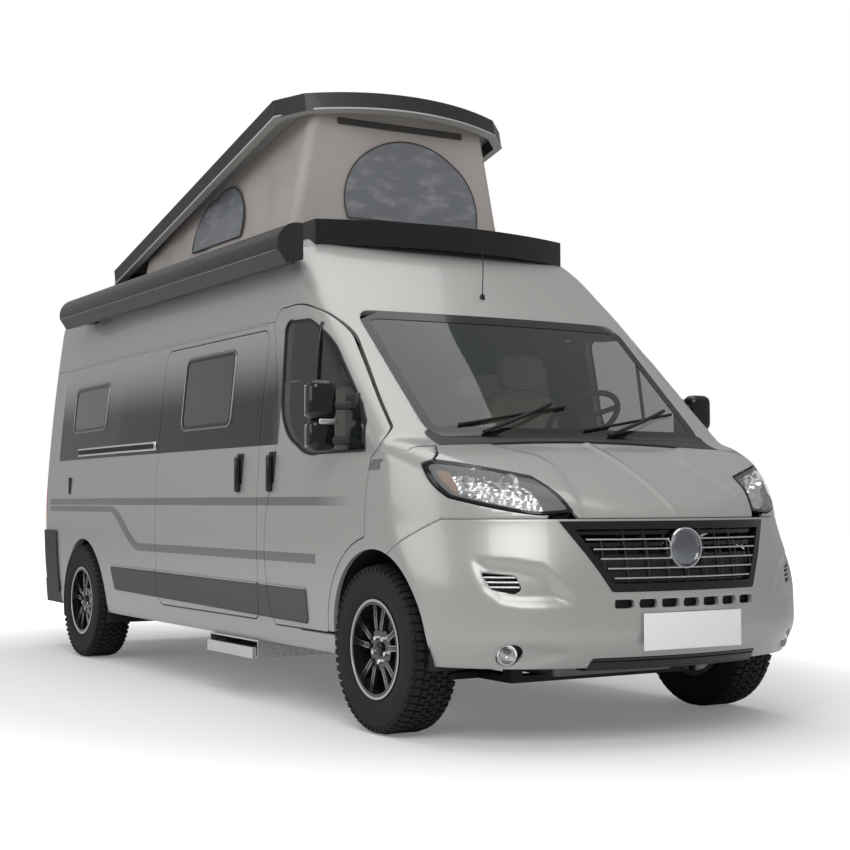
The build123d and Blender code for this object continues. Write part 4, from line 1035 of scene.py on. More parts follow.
bumper = trimmed(
    nose, keep_inside(bumper_seam, -gap / 2), outside_arch(front_arch),
    drop_inside(grille_shape, 0, "front"), drop_inside(skid_shape, 0.001, "front"),
    *drop_each(lamp_pair, 0.003), *drop_each(slots + fog_holes + vents),
)
skin("bumper_skin", bumper, paint, "van", ["front_bumper"])
backing_mesh = trimmed(
    nose, flat(1, -1, -2.45), flat(2, 1, 0.335), flat(2, -1, 0.80), within_width(0.90),
)
sheet("bumper_backing", backing_mesh, 0.036, matte_black, "van")
skid = trimmed(nose, keep_inside(skid_shape, -0.002, "front"), flat(2, 1, sill_z - 0.010))
skin("skid", skid, gloss_black, "van", depth=0.03)


def tubes(name, paths, radius, material, body):
    """Rods or beads along paths, as one mesh."""
    curve = bpy.data.curves.new(name, "CURVE")
    curve.dimensions = "3D"
    curve.bevel_depth = radius
    curve.bevel_resolution = 3
    curve.use_fill_caps = True
    for path in paths:
        spline = curve.splines.new("POLY")
        spline.points.add(len(path) - 1)
        for point, place_at in zip(spline.points, path):
            point.co = (*map(float, place_at), 1)
    made = linked(name + "_line", curve)
    bpy.context.view_layer.update()
    mesh = bpy.data.meshes.new_from_object(made.evaluated_get(bpy.context.evaluated_depsgraph_get()))
    bpy.data.objects.remove(made)
    bpy.data.curves.remove(curve)
    obj = linked(name, mesh)
    mesh.materials.clear()
    mesh.materials.append(material)
    mesh.shade_smooth()
    mesh.set_sharp_from_angle(angle=edge_crease)
    return place(obj, body)


class Form:
    """A mesh in the making: primitives shaped by bmesh operators, then one object."""

    def __init__(self):
        self.mesh = bmesh.new()

    def box(self, low, high, bevel=0.0, turn=None, segments=3):
        """A rounded block between two corners, turned about its middle."""
        low, high = Vector(low), Vector(high)
        made = bmesh.ops.create_cube(self.mesh, size=1)["verts"]
        size = Matrix.Diagonal((*(high - low), 1))
        turn = turn.to_4x4() if turn else Matrix.Identity(4)
        matrix = Matrix.Translation((low + high) / 2) @ turn @ size
        bmesh.ops.transform(self.mesh, matrix=matrix, verts=made)
        if bevel:
            edges = list({e for v in made for e in v.link_edges})
            round_edges(self.mesh, edges, bevel, segments, material=-1)
        return self

    def block(self, matrix, size):
        """A plain block of this size, turned and placed by a matrix."""
        made = bmesh.ops.create_cube(self.mesh, size=1)["verts"]
        bmesh.ops.transform(self.mesh, matrix=matrix @ Matrix.Diagonal((*size, 1)), verts=made)

    def rod(self, start, end, radius, sides=24, end_radius=None, bevel=0.0):
        """A round bar or cone from one point to another."""
        start, end = Vector(start), Vector(end)
        turn = (end - start).to_track_quat("Z", "Y").to_matrix().to_4x4()
        made = bmesh.ops.create_cone(
            self.mesh, cap_ends=True, segments=sides, radius1=radius,
            radius2=radius if end_radius is None else end_radius,
            depth=(end - start).length, matrix=Matrix.Translation((start + end) / 2) @ turn,
        )["verts"]
        if bevel:
            edges = {e for v in made for e in v.link_edges}
            edges = [e for e in edges if any(len(f.verts) > 4 for f in e.link_faces)]
            round_edges(self.mesh, edges, bevel, material=-1)
        return self

    def spun(self, profile, centre, axis, start, sides=48):
        """A turned form: radius and distance along the axis, spun about it."""
        axis, start, centre = Vector(axis), Vector(start), Vector(centre)
        verts = [self.mesh.verts.new(centre + start * r + axis * d) for r, d in profile]
        edges = [self.mesh.edges.new(pair) for pair in zip(verts, verts[1:])]
        bmesh.ops.spin(
            self.mesh, geom=verts + edges, cent=centre, axis=axis, angle=math.tau, steps=sides,
            use_merge=True,
        )
        return self

    def both(self):
        """Adds the mirror image on the other side of the van."""
        copied = bmesh.ops.duplicate(
            self.mesh, geom=self.mesh.verts[:] + self.mesh.edges[:] + self.mesh.faces[:],
        )
        verts = [g for g in copied["geom"] if isinstance(g, bmesh.types.BMVert)]
        bmesh.ops.scale(self.mesh, vec=(-1, 1, 1), verts=verts)
        return self

    def done(self, name, material, body, nodes=(), slot=None, matrix=None, sharp=35):
        """The finished object, with its faces pointing outwards."""
        bmesh.ops.remove_doubles(self.mesh, verts=self.mesh.verts, dist=1e-6)
        if matrix is not None:
            bmesh.ops.transform(self.mesh, matrix=matrix, verts=self.mesh.verts)
        bmesh.ops.recalc_face_normals(self.mesh, faces=self.mesh.faces)
        data = bpy.data.meshes.new(name)
        self.mesh.to_mesh(data)
        self.mesh.free()
        obj = linked(name, data)
        data.materials.append(material)
        data.shade_smooth()
        data.set_sharp_from_angle(angle=math.radians(sharp))
        return place(obj, body, nodes)

# Vents and fog lamps: satin slats clipped across dark pockets in the bumper, and round lamps with a
# plated bowl behind a clear lens.
clear_lens = glazing("clear_lens", (0.75, 0.77, 0.78), 0.22)
chrome = metal("chrome", (0.86, 0.87, 0.88), 0.06)
satin = metal("satin_metal", (0.62, 0.63, 0.64), 0.3, brushed=True)
slat_paths = []
for side in (-1, 1):
    for height in (0.668, 0.688, 0.708):
        inner = 0.728 if height < 0.70 else 0.738
        outer = 0.826 + (height - 0.658) * 0.42
        slat_paths.append(nose_path([(side * u, height) for u in np.linspace(inner, outer, 8)], -0.010))
tubes("vent_slats", slat_paths, 0.0045, satin, "van")
for side_name, side in sides:
    centre = nose_path([(side * fog_centre[0], fog_centre[1])], -0.016)[0]
    aim = Vector((side * 0.35, -1, 0)).normalized()
    across = aim.cross(Vector((0, 0, 1))).normalized()
    Form().spun(
        [
            (0.0, -0.030), (0.014, -0.028), (0.026, -0.018), (0.036, 0.004), (0.043, 0.006),
            (0.045, -0.004), (0.045, -0.030)
        ],
        centre, aim, across,
    ).done(f"fog_bowl_{side_name}", chrome, "van")
    Form().spun(
        [(0.0, 0.010), (0.018, 0.009), (0.030, 0.006), (0.0375, 0.001)], centre, aim, across,
    ).done(f"fog_lens_{side_name}", clear_lens, "van", slot="lamp_glass")
    Form().rod(centre - aim * 0.028, centre - aim * 0.006, 0.007, 16, bevel=0.002).done(
        f"fog_bulb_{side_name}", clear_lens, "van")

# Grille: a gloss black moulding with thin satin slats and dark uprights in front of it, a plain round
# disc in a plated ring at the middle, and the blank plate screwed on below.
white_plate = plastic("white_plate", (0.85, 0.85, 0.85), 0.4)
disc_metal = metal("disc_metal", (0.20, 0.21, 0.23), 0.30, brushed=True)
finish_nodes(gloss_black, "grille")
slat_rows = (0.702, 0.742, 0.782, 0.822, 0.862)
slats = []
for height in slat_rows:
    reach = 0.385 + (height - 0.645) * 0.597 - 0.052
    slats.append(nose_path([(u, height) for u in np.linspace(-reach, reach, 40)], -0.008))
tubes("grille_slats", slats, 0.0036, satin, "van")
uprights = [
    nose_path([(u, z) for z in np.linspace(0.700, 0.864, 8)], -0.013)
    for u in np.linspace(-0.40, 0.40, 9)
]
tubes("grille_uprights", uprights, 0.0028, dark_plastic, "van")
disc_z = 0.823
disc_centre = (-0.012, nose_path([(0.0, disc_z)])[0][1] + 0.004, disc_z)
disc_profile = [(0.0, 0.016), (0.050, 0.0135), (0.074, 0.006), (0.078, 0.001)]
ring_profile = [
    (0.0, -0.020), (0.086, -0.020), (0.090, -0.002), (0.086, 0.010), (0.080, 0.010), (0.077, 0.000),
    (0.0, -0.001),
]
for name, profile, material in (("disc", disc_profile, disc_metal), ("ring", ring_profile, chrome)):
    Form().spun(profile, disc_centre, (0, -1, 0), (1, 0, 0), 64).done(f"grille_{name}", material, "van")


def slab(name, low, high, bevel, material, body, segments=3):
    """One rounded block as a piece of its own."""
    Form().box(low, high, bevel, segments=segments).done(name, material, body)


slab("front_plate", (-0.255, -2.9985, 0.402), (0.275, -2.9945, 0.556), 0.002, white_plate, "van")
ledge = [nose_path([(u, 0.353) for u in np.linspace(-0.435, 0.435, 30)], 0.002)]
tubes("skid_bead", ledge, 0.004, gloss_black, "van")

# Headlamps: clear moulded covers in black bezels, sealed to a black housing that holds a faceted mirror,
# two plated bowls with their bulbs, and an amber end.
amber_lens = glazing("amber_lens", (0.45, 0.20, 0.07), 0.5)


def faceted_mirror():
    """Plated reflector pressed in many small facets, with painted shade darkening each facet towards its
    edges.
    """
    s = Surface("faceted_chrome", (0.80, 0.81, 0.82), roughness=0.08, metallic=1.0)
    cells = s.node("TexVoronoi", {"Vector": s.place, "Scale": 34.0}, output="Distance")
    s.bump(cells, 0.012, 1.0)
    # Painted shade: the colour is bright in the middle of each facet and dark towards its edges.
    s.set("Base Color", s.blend(cells, (0.86, 0.87, 0.88), (0.30, 0.30, 0.31)))
    return s.material


faceted_chrome = faceted_mirror()
for side_name, side in sides:
    shape = lamp_shape * np.array([side, 1])
    front = front_grid(1.35, 0.93, 1.24, 0.010)
    ahead = flat(1, -1, -2.30)
    cover = trimmed(front, ahead, keep_inside(shape, -0.003, "front"))
    rim = trim(cover, drop_inside(shape, -0.014, "front"))
    skin(
        f"lamp_bezel_{side_name}", rim, gloss_black, "van", ["headlamps"] if side < 0 else [],
        depth=0.085, lip=0,
    )
    lens = trim(cover, keep_inside(shape, -0.012, "front"))
    sheet(f"lamp_cover_{side_name}", lens, 0.002, clear_lens, "van")
    for part, material, sink, low, high in (
        ("mirror", faceted_chrome, 0.040, 0.60, 0.880), ("blinker", amber_lens, 0.028, 0.880, 0.97),
        ("housing", gloss_black, 0.060, 0.40, 1.00),
    ):
        piece = trimmed(
            cover, keep_inside(shape, -0.026 if part != "housing" else -0.010, "front"),
            lambda p: np.abs(p[:, 0]) - low, lambda p: high - np.abs(p[:, 0]),
        )
        sheet(f"lamp_{part}_{side_name}", piece, sink, material, "van")
    for number, (x, z, radius) in enumerate(((0.795, 1.118, 0.046), (0.675, 1.098, 0.040))):
        on_skin, _ = shoot(stack([x * side], -1.9, [z]), stack([0.0], -1, 0), 1.2)
        aim = Vector((side * 0.12, -1, 0.08)).normalized()
        across = aim.cross(Vector((0, 0, 1))).normalized()
        centre = Vector(on_skin[0]) - aim * 0.062
        Form().spun(
            [
                (0.0, -0.024), (radius * 0.35, -0.021), (radius * 0.7, -0.008), (radius, 0.014),
                (radius + 0.004, 0.016), (radius + 0.005, 0.0)
            ],
            centre, aim, across,
        ).done(f"lamp_bowl_{side_name}_{number}", chrome, "van")
        Form().rod(centre - aim * 0.022, centre + aim * 0.006, 0.009, 16, bevel=0.003).done(
            f"lamp_bulb_{side_name}_{number}", satin, "van")

# Rear doors: two pressed steel doors with framed tinted panes, hung at the corners of a steel frame.
# The bumper below them is black plastic.
def rear_grid(x0, x1, z0, z1, size):
    """The tail, by width and height."""
    return grid_mesh(
        steps(x0, x1, size), steps(z0, z1, size),
        lambda u, v: stack(u, 2.0, v), lambda u, v: stack(np.zeros_like(u), 1, 0), 1.4,
    )


rear_door_shape = rounded(0.005, 0.905, 0.505, 2.270, 0.035)
rear_pane = rounded(0.135, 0.775, 1.380, 1.900, 0.055)
finish_nodes(dark_plastic, "rear_bumper")
for side_name, side in sides:
    body = f"rear_door_{side_name}_body"
    shape = rear_door_shape * np.array([side, 1])
    glass_shape = rear_pane * np.array([side, 1])
    tail = trim(rear_grid(-0.96, 0.96, 0.30, 2.40, coarse), flat(1, 1, 2.86))
    door = trimmed(tail, keep_inside(shape, -gap / 2, "front"), drop_inside(glass_shape, 0, "front"))
    skin(
        f"rear_door_{side_name}_skin", door, paint, body, [f"rear_door_{side_name}"], lined=lining,
        depth=0.03,
    )
    pane(
        f"rear_door_{side_name}_pane", tail, glass_shape, "front", body, [f"rear_glass_{side_name}"],
        frame_width=0.015, glass=privacy_glass,
    )

tail_ring = rear_grid(-0.95, 0.95, 0.49, 2.36, 0.012)
tail_ring = trimmed(tail_ring, flat(1, 1, 2.83), drop_inside(rear_door_hole, 0.0, "front"))
sheet("tail_frame_skin", tail_ring, 0.0012, paint, "van", thickness=0.02)

# Wheels: rubber tyres with rows of tread blocks on black cast alloys. The spokes' edges and the rim's
# lip are turned bright. Five bolts hold each wheel in front of its iron brake disc, under a plain cap.
rear_axle_y = 1.984
axle_z = 0.372
front_track, rear_track = 1.810, 1.790
spoke_count, spoke_round = 5, 0.004
rubber = plastic("rubber", (0.012, 0.012, 0.012), 0.7)
alloy_black = Surface(
    "alloy_black", (0.018, 0.018, 0.02), roughness=0.22, metallic=0.4, coat=0.8,
).material
finish_nodes(alloy_black, "rim_front_right", "rim_front_left", "rim_rear_right", "rim_rear_left")


def wheel_place(side, track, axle_y):
    """From the wheel's own frame, with its axle along Z, to its place on the van."""
    centre = Matrix.Translation((side * track / 2, axle_y, axle_z))
    return centre @ Matrix.Rotation(side * math.pi / 2, 4, "Y")


def turned(name, profile, sides, material, nodes=(), slot=None):
    """A form turned about the axle of the wheel in hand."""
    form = Form().spun(profile, (0, 0, 0), (0, 0, 1), (1, 0, 0), sides)
    form.done(f"{name}_{wheel}", material, body, nodes, slot, matrix)


wheel_rows = (
    ("front_right", -1, front_track, front_axle_y), ("front_left", 1, front_track, front_axle_y),
    ("rear_right", -1, rear_track, rear_axle_y), ("rear_left", 1, rear_track, rear_axle_y),
)
half_profile = [
    (0.2065, 0.079), (0.2215, 0.095), (0.226, 0.1005), (0.234, 0.1015), (0.240, 0.1065),
    (0.270, 0.1112), (0.300, 0.1118), (0.326, 0.1085), (0.332, 0.1095), (0.336, 0.1075),
    (0.350, 0.1005), (0.3575, 0.090), (0.3605, 0.070),
]
lip_profile = [
    (0.2095, 0.1028), (0.2190, 0.1028), (0.2200, 0.1042), (0.2150, 0.1050), (0.2100, 0.1042),
    (0.2095, 0.1028),
]
cap_profile = [(0.0, 0.085), (0.022, 0.084), (0.031, 0.080), (0.034, 0.068)]
brake_profile = [(0.060, -0.004), (0.150, -0.004), (0.151, 0.010), (0.060, 0.012), (0.060, -0.004)]
tyre_profile = [(r, -w) for r, w in half_profile] + [(0.3625, 0.0)] + half_profile[::-1]
tread_rows = (
    (-0.080, 0.034, 0.0, 0.014), (-0.043, 0.028, 0.5, -0.20), (-0.0145, 0.022, 0.15, 0.25),
    (0.0145, 0.022, 0.65, 0.25), (0.043, 0.028, 0.3, -0.20), (0.080, 0.034, 0.5, 0.014),
)
block_count = 58
for wheel, side, track, axle_y in wheel_rows:
    body = f"wheel_{wheel}"
    matrix = wheel_place(side, track, axle_y)
    turned("tyre_carcass", tyre_profile, 96, rubber, [f"tyre_{wheel}"], "tyre_rubber")
    tread = Form()
    pitch = math.tau / block_count
    for middle, width, offset, skew in tread_rows:
        edge = abs(middle) > 0.06
        top = 0.3712 if not edge else 0.3690
        turn = Matrix.Rotation(pitch * offset, 4, "Z")
        lean = Matrix.Rotation(0.0 if not edge else -0.20 * math.copysign(1, middle), 4, "Y")
        skewed = Matrix.Rotation(skew, 4, "X")
        tread.block(
            turn @ Matrix.Translation((top - 0.009, 0, middle)) @ lean @ skewed, (0.018, 0.0295, width),
        )
        if edge:
            on_shoulder = Matrix.Translation((0.345, 0, math.copysign(0.0995, middle)))
            lean = Matrix.Rotation(-0.45 * math.copysign(1, middle), 4, "Y")
            tread.block(turn @ on_shoulder @ lean, (0.030, 0.022, 0.012))
    bmesh.ops.spin(
        tread.mesh, geom=tread.mesh.verts[:] + tread.mesh.edges[:] + tread.mesh.faces[:], cent=(0, 0, 0),
        axis=(0, 0, 1), angle=math.tau - pitch, steps=block_count - 1, use_duplicate=True,
    )
    tread.done(f"tread_{wheel}", rubber, body, matrix=matrix)
    spokes, edges = Form(), Form()
    taper = Matrix.Translation((0.142, 0, 0.0705)) @ Matrix.Rotation(math.radians(2.5), 4, "Y")
    for number in range(spoke_count):
        for lean in (-13, 13):
            turn = Matrix.Rotation(math.radians(number * 72 + lean), 4, "Z")
            spokes.block(turn @ taper, (0.122, 0.021, 0.014))
            for offset in (-0.0105, 0.0105):
                line = taper @ Matrix.Translation((0.004, offset, 0.0068))
                edges.block(turn @ line, (0.112, 0.0028, 0.0022))
    round_edges(spokes.mesh, spokes.mesh.edges[:], spoke_round, material=-1)
    spokes.done(f"spokes_{wheel}", alloy_black, body, matrix=matrix)
    edges.done(f"spoke_edges_{wheel}", satin, body, matrix=matrix)
    turned("rim_line", lip_profile, 72, satin)
    bolts = Form()
    for number in range(spoke_count):
        turn = math.radians(number * 72 + 36)
        spot = Vector((0.056 * math.cos(turn), 0.056 * math.sin(turn), 0))
        bolts.rod(spot + Vector((0, 0, 0.068)), spot + Vector((0, 0, 0.084)), 0.0115, 6, bevel=0.0015)
    bolts.done(f"bolts_{wheel}", chrome, body, matrix=matrix)
    turned("cap", cap_profile, 40, gloss_black)
    turned("brake_disc", brake_profile, 64, iron)

# Wheel arches: thin plastic liners behind the arches, clipped to the edge of the body and bent round
# the tyres.
for name, (arch_y, arch_z, radius), inner in (("front", front_arch, 0.62), ("rear", rear_arch, 0.66)):
    liner = Form()
    count = 28
    reach = radius + 0.006
    rows = []
    for x in (0.985, 0.80, inner):
        ring = []
        for k in range(count + 1):
            turn = math.radians(-12 + 204 * k / count)
            place_at = (x, arch_y + reach * math.cos(turn), arch_z + reach * math.sin(turn))
            ring.append(liner.mesh.verts.new(place_at))
        rows.append(ring)
    for a, b in zip(rows, rows[1:]):
        for k in range(count):
            liner.mesh.faces.new((a[k], a[k + 1], b[k + 1], b[k]))
    bmesh.ops.solidify(liner.mesh, geom=liner.mesh.faces[:], thickness=0.003)
    liner.both().done(f"arch_liners_{name}", matte_black, "van")

# Lower side panels: matte grey plastic mouldings stuck along the flanks and cut at each door, with a
# bright bead pressed into their top edge.
panel_grey = plastic("panel_grey", (0.085, 0.085, 0.083), 0.62, grain=0.6)
panel_depth = 0.007
panel_shape = np.array([(1.372, 0.619), (-1.392, 0.603), (-1.392, 0.440), (1.310, 0.476)])
for side_name, side in sides:
    whole = trim(side_grid(-1.42, 1.40, 0.42, 0.64, 0.02, side), keep_inside(panel_shape))
    beyond = trimmed(whole, drop_inside(door_shape, gap + 0.001))
    on_door = trim(whole, keep_inside(door_shape, -gap - 0.001))
    pieces = [("door", f"cab_door_{side_name}_body", on_door)]
    if side < 0:
        pieces += [
            ("slide", "van", trim(beyond, keep_inside(slide_shape, -gap))),
            ("rear", "van", trim(beyond, drop_inside(slide_shape, gap))),
        ]
    else:
        pieces += [("rear", "van", beyond)]
    for part, body, mesh in pieces:
        sheet(f"panel_{part}_{side_name}", mesh, -panel_depth, panel_grey, body, thickness=panel_depth)


def on_flank(side, y, z, proud=0.0):
    """Points on one flank at these lengths and heights, standing out from it."""
    y, z = np.atleast_1d(y).astype(float), np.atleast_1d(z).astype(float)
    points, _ = shoot(stack(np.zeros(len(y)), y, z), stack(np.full(len(y), float(side)), 0, 0), 1.4)
    points[:, 0] += side * proud
    return points


bead_spans = {
    -1: ((-1.388, -0.905), (-0.862, -0.855), (-0.835, 0.570), (0.590, 1.368)),
    1: ((-1.388, -0.905), (-0.890, 1.368))
}
for side_name, side in sides:
    for number, (start, end) in enumerate(bead_spans[side]):
        if end - start < 0.05:
            continue
        at = np.linspace(start, end, 14)
        points = on_flank(side, at, 0.6095 + at * 0.0058 + 0.0055, 0.006)
        body = f"cab_door_{side_name}_body" if end < -0.90 else "van"
        tubes(f"panel_bead_{side_name}_{number}", [points], 0.004, satin, body)

# Handles and rail: gloss black grips over dark cups, screwed through the doors. A plated rail with a
# dark channel guides the sliding door, and a small flap covers the power socket.
handle_z, rail_z = 1.165, 1.352
door_handle_y, slide_handle_y = -1.010, -0.620
for side_name, side in sides:
    rows = [("door_handle", door_handle_y, f"cab_door_{side_name}_body")]
    if side < 0:
        rows.append(("slide_handle", slide_handle_y, "van"))
    for name, at_y, body in rows:
        x = on_flank(side, at_y, handle_z)[0][0]
        low, high = sorted((x - side * 0.012, x + side * 0.003))
        cup = (low, at_y - 0.036, 1.055), (high, at_y + 0.036, 1.272), 0.007
        slab(f"{name}_cup_{side_name}", *cup, matte_black, body)
        low, high = sorted((x + side * 0.002, x + side * 0.030))
        grip = (low, at_y - 0.019, 1.070), (high, at_y + 0.019, 1.256), 0.012
        slab(f"{name}_grip_{side_name}", *grip, gloss_black, body, 4)
on_skin = on_flank(-1, np.linspace(0.640, 2.120, 20), np.full(20, rail_z))
lifted = on_skin + np.array([-0.006, 0, 0])
beads = [lifted + np.array([0, 0, dz]) for dz in (-0.020, 0.020)]
tubes("slide_rail_beads", beads, 0.007, chrome, "van")
channel = [on_skin + np.array([-0.001, 0, dz]) for dz in (-0.008, 0.0, 0.008)]
tubes("slide_rail_channel", channel, 0.006, matte_black, "van")
end_x = lifted[0][0]
rail_end = (end_x - 0.006, 0.612, 1.326), (end_x + 0.008, 0.642, 1.378), 0.006
slab("slide_rail_end", *rail_end, chrome, "van")
flap_x = on_flank(-1, 2.280, 1.131)[0][0]
flap = (flap_x - 0.010, 2.262, 1.075), (flap_x + 0.010, 2.298, 1.187), 0.006
slab("socket_flap", *flap, matte_black, "van")

# Drip rails and seals: a folded steel edge along the roof seam, extruded rubber round each pane, and a
# black bar that divides the cab doors' windows.
satin_dark = metal("satin_dark", (0.30, 0.30, 0.31), 0.35)
for side_name, side in sides:
    points = on_flank(side, np.linspace(-0.79, 2.60, 40), np.full(40, roof_seam_z + 0.001), 0.002)
    tubes(f"drip_rail_{side_name}", [points], 0.006, paint, "van")
    body = f"cab_door_{side_name}_body"
    points = on_flank(side, np.linspace(-1.421, -1.448, 12), np.linspace(1.885, 1.455, 12), 0.001)
    tubes(f"window_divider_{side_name}", [points], 0.010, gloss_black, body)
    for name, shape in (
        ("slide", slide_glass) if side < 0 else ("left", left_glass), ("rear", rear_glass),
    ):
        ring = np.concatenate([shape, shape[:1]])
        tubes(f"seal_{name}_{side_name}", [on_flank(side, *ring.T, 0.002)], 0.0065, satin_dark, "van")
    ring = np.concatenate([door_glass, door_glass[:1]])
    tubes(f"seal_door_{side_name}", [on_flank(side, *ring.T)], 0.006, matte_black, body)

# Rear corners: grained black plastic that carries the bumper round onto the flanks, clipped over the
# painted steel.
for side_name, side in sides:
    corner = side_grid(2.55, 2.998, 0.395, 0.83, 0.016, side)
    corner = trimmed(
        corner, keep_inside(rounded(2.572, 3.05, 0.398, 0.826, 0.03)), outside_arch(rear_arch, 0.02),
        none_of(flat(1, 1, corner_y), within_width(0.916)),
    )
    obj = sheet(f"rear_corner_{side_name}", corner, -0.012, dark_plastic, "van", thickness=0.010)
    for v in obj.data.vertices:
        v.co.y = min(v.co.y, 2.9985)

# Mirrors: tall two-part heads of gloss black plastic, each on two arms bolted to the cab door. Each part
# has its own silvered glass, and a lamp strip divides them.
for side_name, side in sides:
    body = f"cab_door_{side_name}_body"
    low, high = sorted((side * 1.048, side * 1.184))
    head = Form().box((low, -1.795, 1.390), (high, -1.690, 1.578), 0.040, segments=5)
    head.box((low + 0.004, -1.785, 1.250), (high - 0.004, -1.695, 1.398), 0.034, segments=5)
    solid = [f"mirror_{side_name}"]
    head.done(f"mirror_head_{side_name}", gloss_black, body, solid, "dark_plastic", sharp=60)
    glass = Form().box((low + 0.014, -1.693, 1.412), (high - 0.014, -1.684, 1.560), 0.008)
    glass.box((low + 0.014, -1.697, 1.268), (high - 0.014, -1.688, 1.378), 0.008)
    glass.done(f"mirror_glass_{side_name}", chrome, body)
    low, high = sorted((side * 1.060, side * 1.150))
    blinker = (low, -1.801, 1.372), (high, -1.786, 1.398), 0.006
    slab(f"mirror_blinker_{side_name}", *blinker, satin, body)
    arms = Form()
    for z in (1.300, 1.462):
        low, high = sorted((side * 0.960, side * 1.080))
        arms.box(
            (low, -1.800, z - 0.020), (high, -1.752, z + 0.020), 0.014, segments=4,
            turn=Matrix.Rotation(side * 0.30, 3, "Z"),
        )
    low, high = sorted((side * 0.955, side * 0.990))
    arms.box((low, -1.850, 1.240), (high, -1.735, 1.520), 0.016, segments=4)
    arms.done(f"mirror_arms_{side_name}", dark_plastic, body, sharp=60)

# Wipers and antenna: painted steel arms with rubber blades, parked across the foot of the windscreen,
# and a thin rod on a round foot on the cab's cap.
def screen_line(foot, head, count, proud, rise=0.0):
    """Points on the windscreen from foot to head, standing out from it and most in the middle."""
    at = np.linspace(0, 1, count)
    x, z = foot[0] + (head[0] - foot[0]) * at, foot[1] + (head[1] - foot[1]) * at
    points, _ = shoot(stack(x, -1.5, z), stack(np.zeros(count), -1, 0), 1.3)
    points[:, 1] -= proud + rise * np.sin(at * math.pi)
    return points


arm_ends = ((-0.52, 1.335), (-0.05, 1.485)), ((0.16, 1.330), (0.66, 1.470))
blade_ends = ((-0.62, 1.368), (0.02, 1.470)), ((0.04, 1.352), (0.70, 1.452))
wiper_arms = [screen_line(*ends, 12, 0.016, 0.018) for ends in arm_ends]
wiper_blades = [screen_line(*ends, 14, 0.010) for ends in blade_ends]
tubes("wiper_arms", wiper_arms, 0.009, matte_black, "van")
tubes("wiper_blades", wiper_blades, 0.007, rubber, "van")
antenna = [(0, -1.380, 2.070), (-0.004, -1.395, 2.200), (-0.010, -1.400, 2.337)]
tubes("antenna", [antenna], 0.0028, matte_black, "van")
Form().rod(
    (0, -1.372, 2.050), (0, -1.386, 2.086), 0.020, 20, 0.010, bevel=0.003,
).done("antenna_foot", matte_black, "van")

# Tent: woven canvas stretched between the roof base and the lifting roof, with mosquito net sewn in as
# windows. The base under it is a gloss black moulding.
def canvas_material():
    """Woven tent canvas."""
    s = Surface("canvas", canvas_grey, roughness=0.85)
    weave_u = s.node("TexWave", {"Vector": s.place, "Scale": 160.0}, output="Fac", bands_direction="Z")
    weave_v = s.node(
        "TexWave", {"Vector": s.place, "Scale": 160.0}, output="Fac", bands_direction="DIAGONAL",
    )
    cloud = s.noise(3.0, 4.0)
    s.set(
        "Base Color",
        s.blend(cloud, tuple(c * 0.92 for c in canvas_grey), tuple(c * 1.06 for c in canvas_grey))
    )
    s.bump(weave_u + weave_v + cloud * 6, 0.0006, 0.5)
    return s.material


canvas_grey = (0.42, 0.385, 0.365)
canvas = canvas_material()
seam_grey = plastic("seam_grey", (0.07, 0.068, 0.065), 0.8, grain=0.4)


def net_material():
    """Grey mosquito net behind a clear window sheet, with a painted sheen in lighter cloudy patches."""
    s = Surface("mosquito_net", (0.16, 0.17, 0.185), roughness=0.5, coat=0.25)
    weave = s.noise(700.0, 1.0)
    cloud = s.noise(7.0, 5.0, (1, 1, 2.5))
    tone = s.blend(weave, (0.12, 0.13, 0.145), (0.19, 0.20, 0.215))
    # Painted sheen: the net turns lighter where the cloud noise that raises its wrinkles is high.
    s.set("Base Color", s.blend(cloud.ramp(0.45, 0.75, 0.0, 0.55), tone, (0.34, 0.35, 0.37)))
    s.bump(cloud, 0.01, 0.35)
    return s.material


mosquito_net = net_material()
finish_nodes(gloss_black, "roof_base")
low_z, hinge_y, hinge_z = 2.4716, 2.050, 2.512
roof_turn = math.radians(13.5)
slope_up = math.tan(roof_turn)
tent_half, tent_front, tent_back, tent_corner = 0.688, -0.538, 1.718, 0.05
lean_in, lean_height = 0.2036, 0.690


def tent_top(y):
    """The underside of the raised roof at this length."""
    return 2.5835 + (hinge_y - y) * slope_up


def tent_wall(path, v):
    """A point on the canvas: place round the foot, and share of the height there."""
    x, y = path
    top = tent_top(y)
    z = low_z + (top - low_z) * v
    return x * (1 - lean_in * (z - low_z) / lean_height), y, z


def tent_path(count):
    """Round the foot of the tent, starting at the middle of the back."""
    shape = rounded(-tent_half, tent_half, tent_front, tent_back, tent_corner, 6)
    ring = np.concatenate([shape, shape[:1]])
    lengths = np.concatenate([[0], np.cumsum(np.hypot(*np.diff(ring, axis=0).T))])
    at = np.linspace(0, lengths[-1], count, endpoint=False)
    return np.stack([np.interp(at, lengths, ring[:, 0]), np.interp(at, lengths, ring[:, 1])], axis=1)


around = tent_path(360)
tent_mesh = bmesh.new()
levels = np.linspace(0, 1, 28)
grid = []
for number, (x, y) in enumerate(around):
    column = []
    for v in levels:
        px, py, pz = tent_wall((x, y), v)
        billow = math.sin(math.pi * v)
        if abs(x) > 0.66 and -0.45 < y < 1.65:
            fold = 0.010 + 0.007 * math.sin(y * 9 + v * 5) + 0.005 * math.sin(y * 21 - v * 7)
            px -= math.copysign(fold * billow, x)
        elif y < 0:
            py += (0.006 + 0.004 * math.sin(x * 13 + v * 4)) * billow
        column.append(tent_mesh.verts.new((px, py, pz)))
    grid.append(column)
for a, b in zip(grid, grid[1:] + grid[:1]):
    for k in range(len(levels) - 1):
        tent_mesh.faces.new((a[k], b[k], b[k + 1], a[k + 1]))
bmesh.ops.recalc_face_normals(tent_mesh, faces=tent_mesh.faces)
tent_data = bpy.data.meshes.new("tent_canvas")
tent_mesh.to_mesh(tent_data)
tent_mesh.free()
tent_piece = linked("tent_canvas", tent_data)
tent_data.materials.append(canvas)
tent_data.shade_smooth()
place(tent_piece, "van", ["tent"])

wall_slant = math.hypot(1, lean_in * tent_half / lean_height)


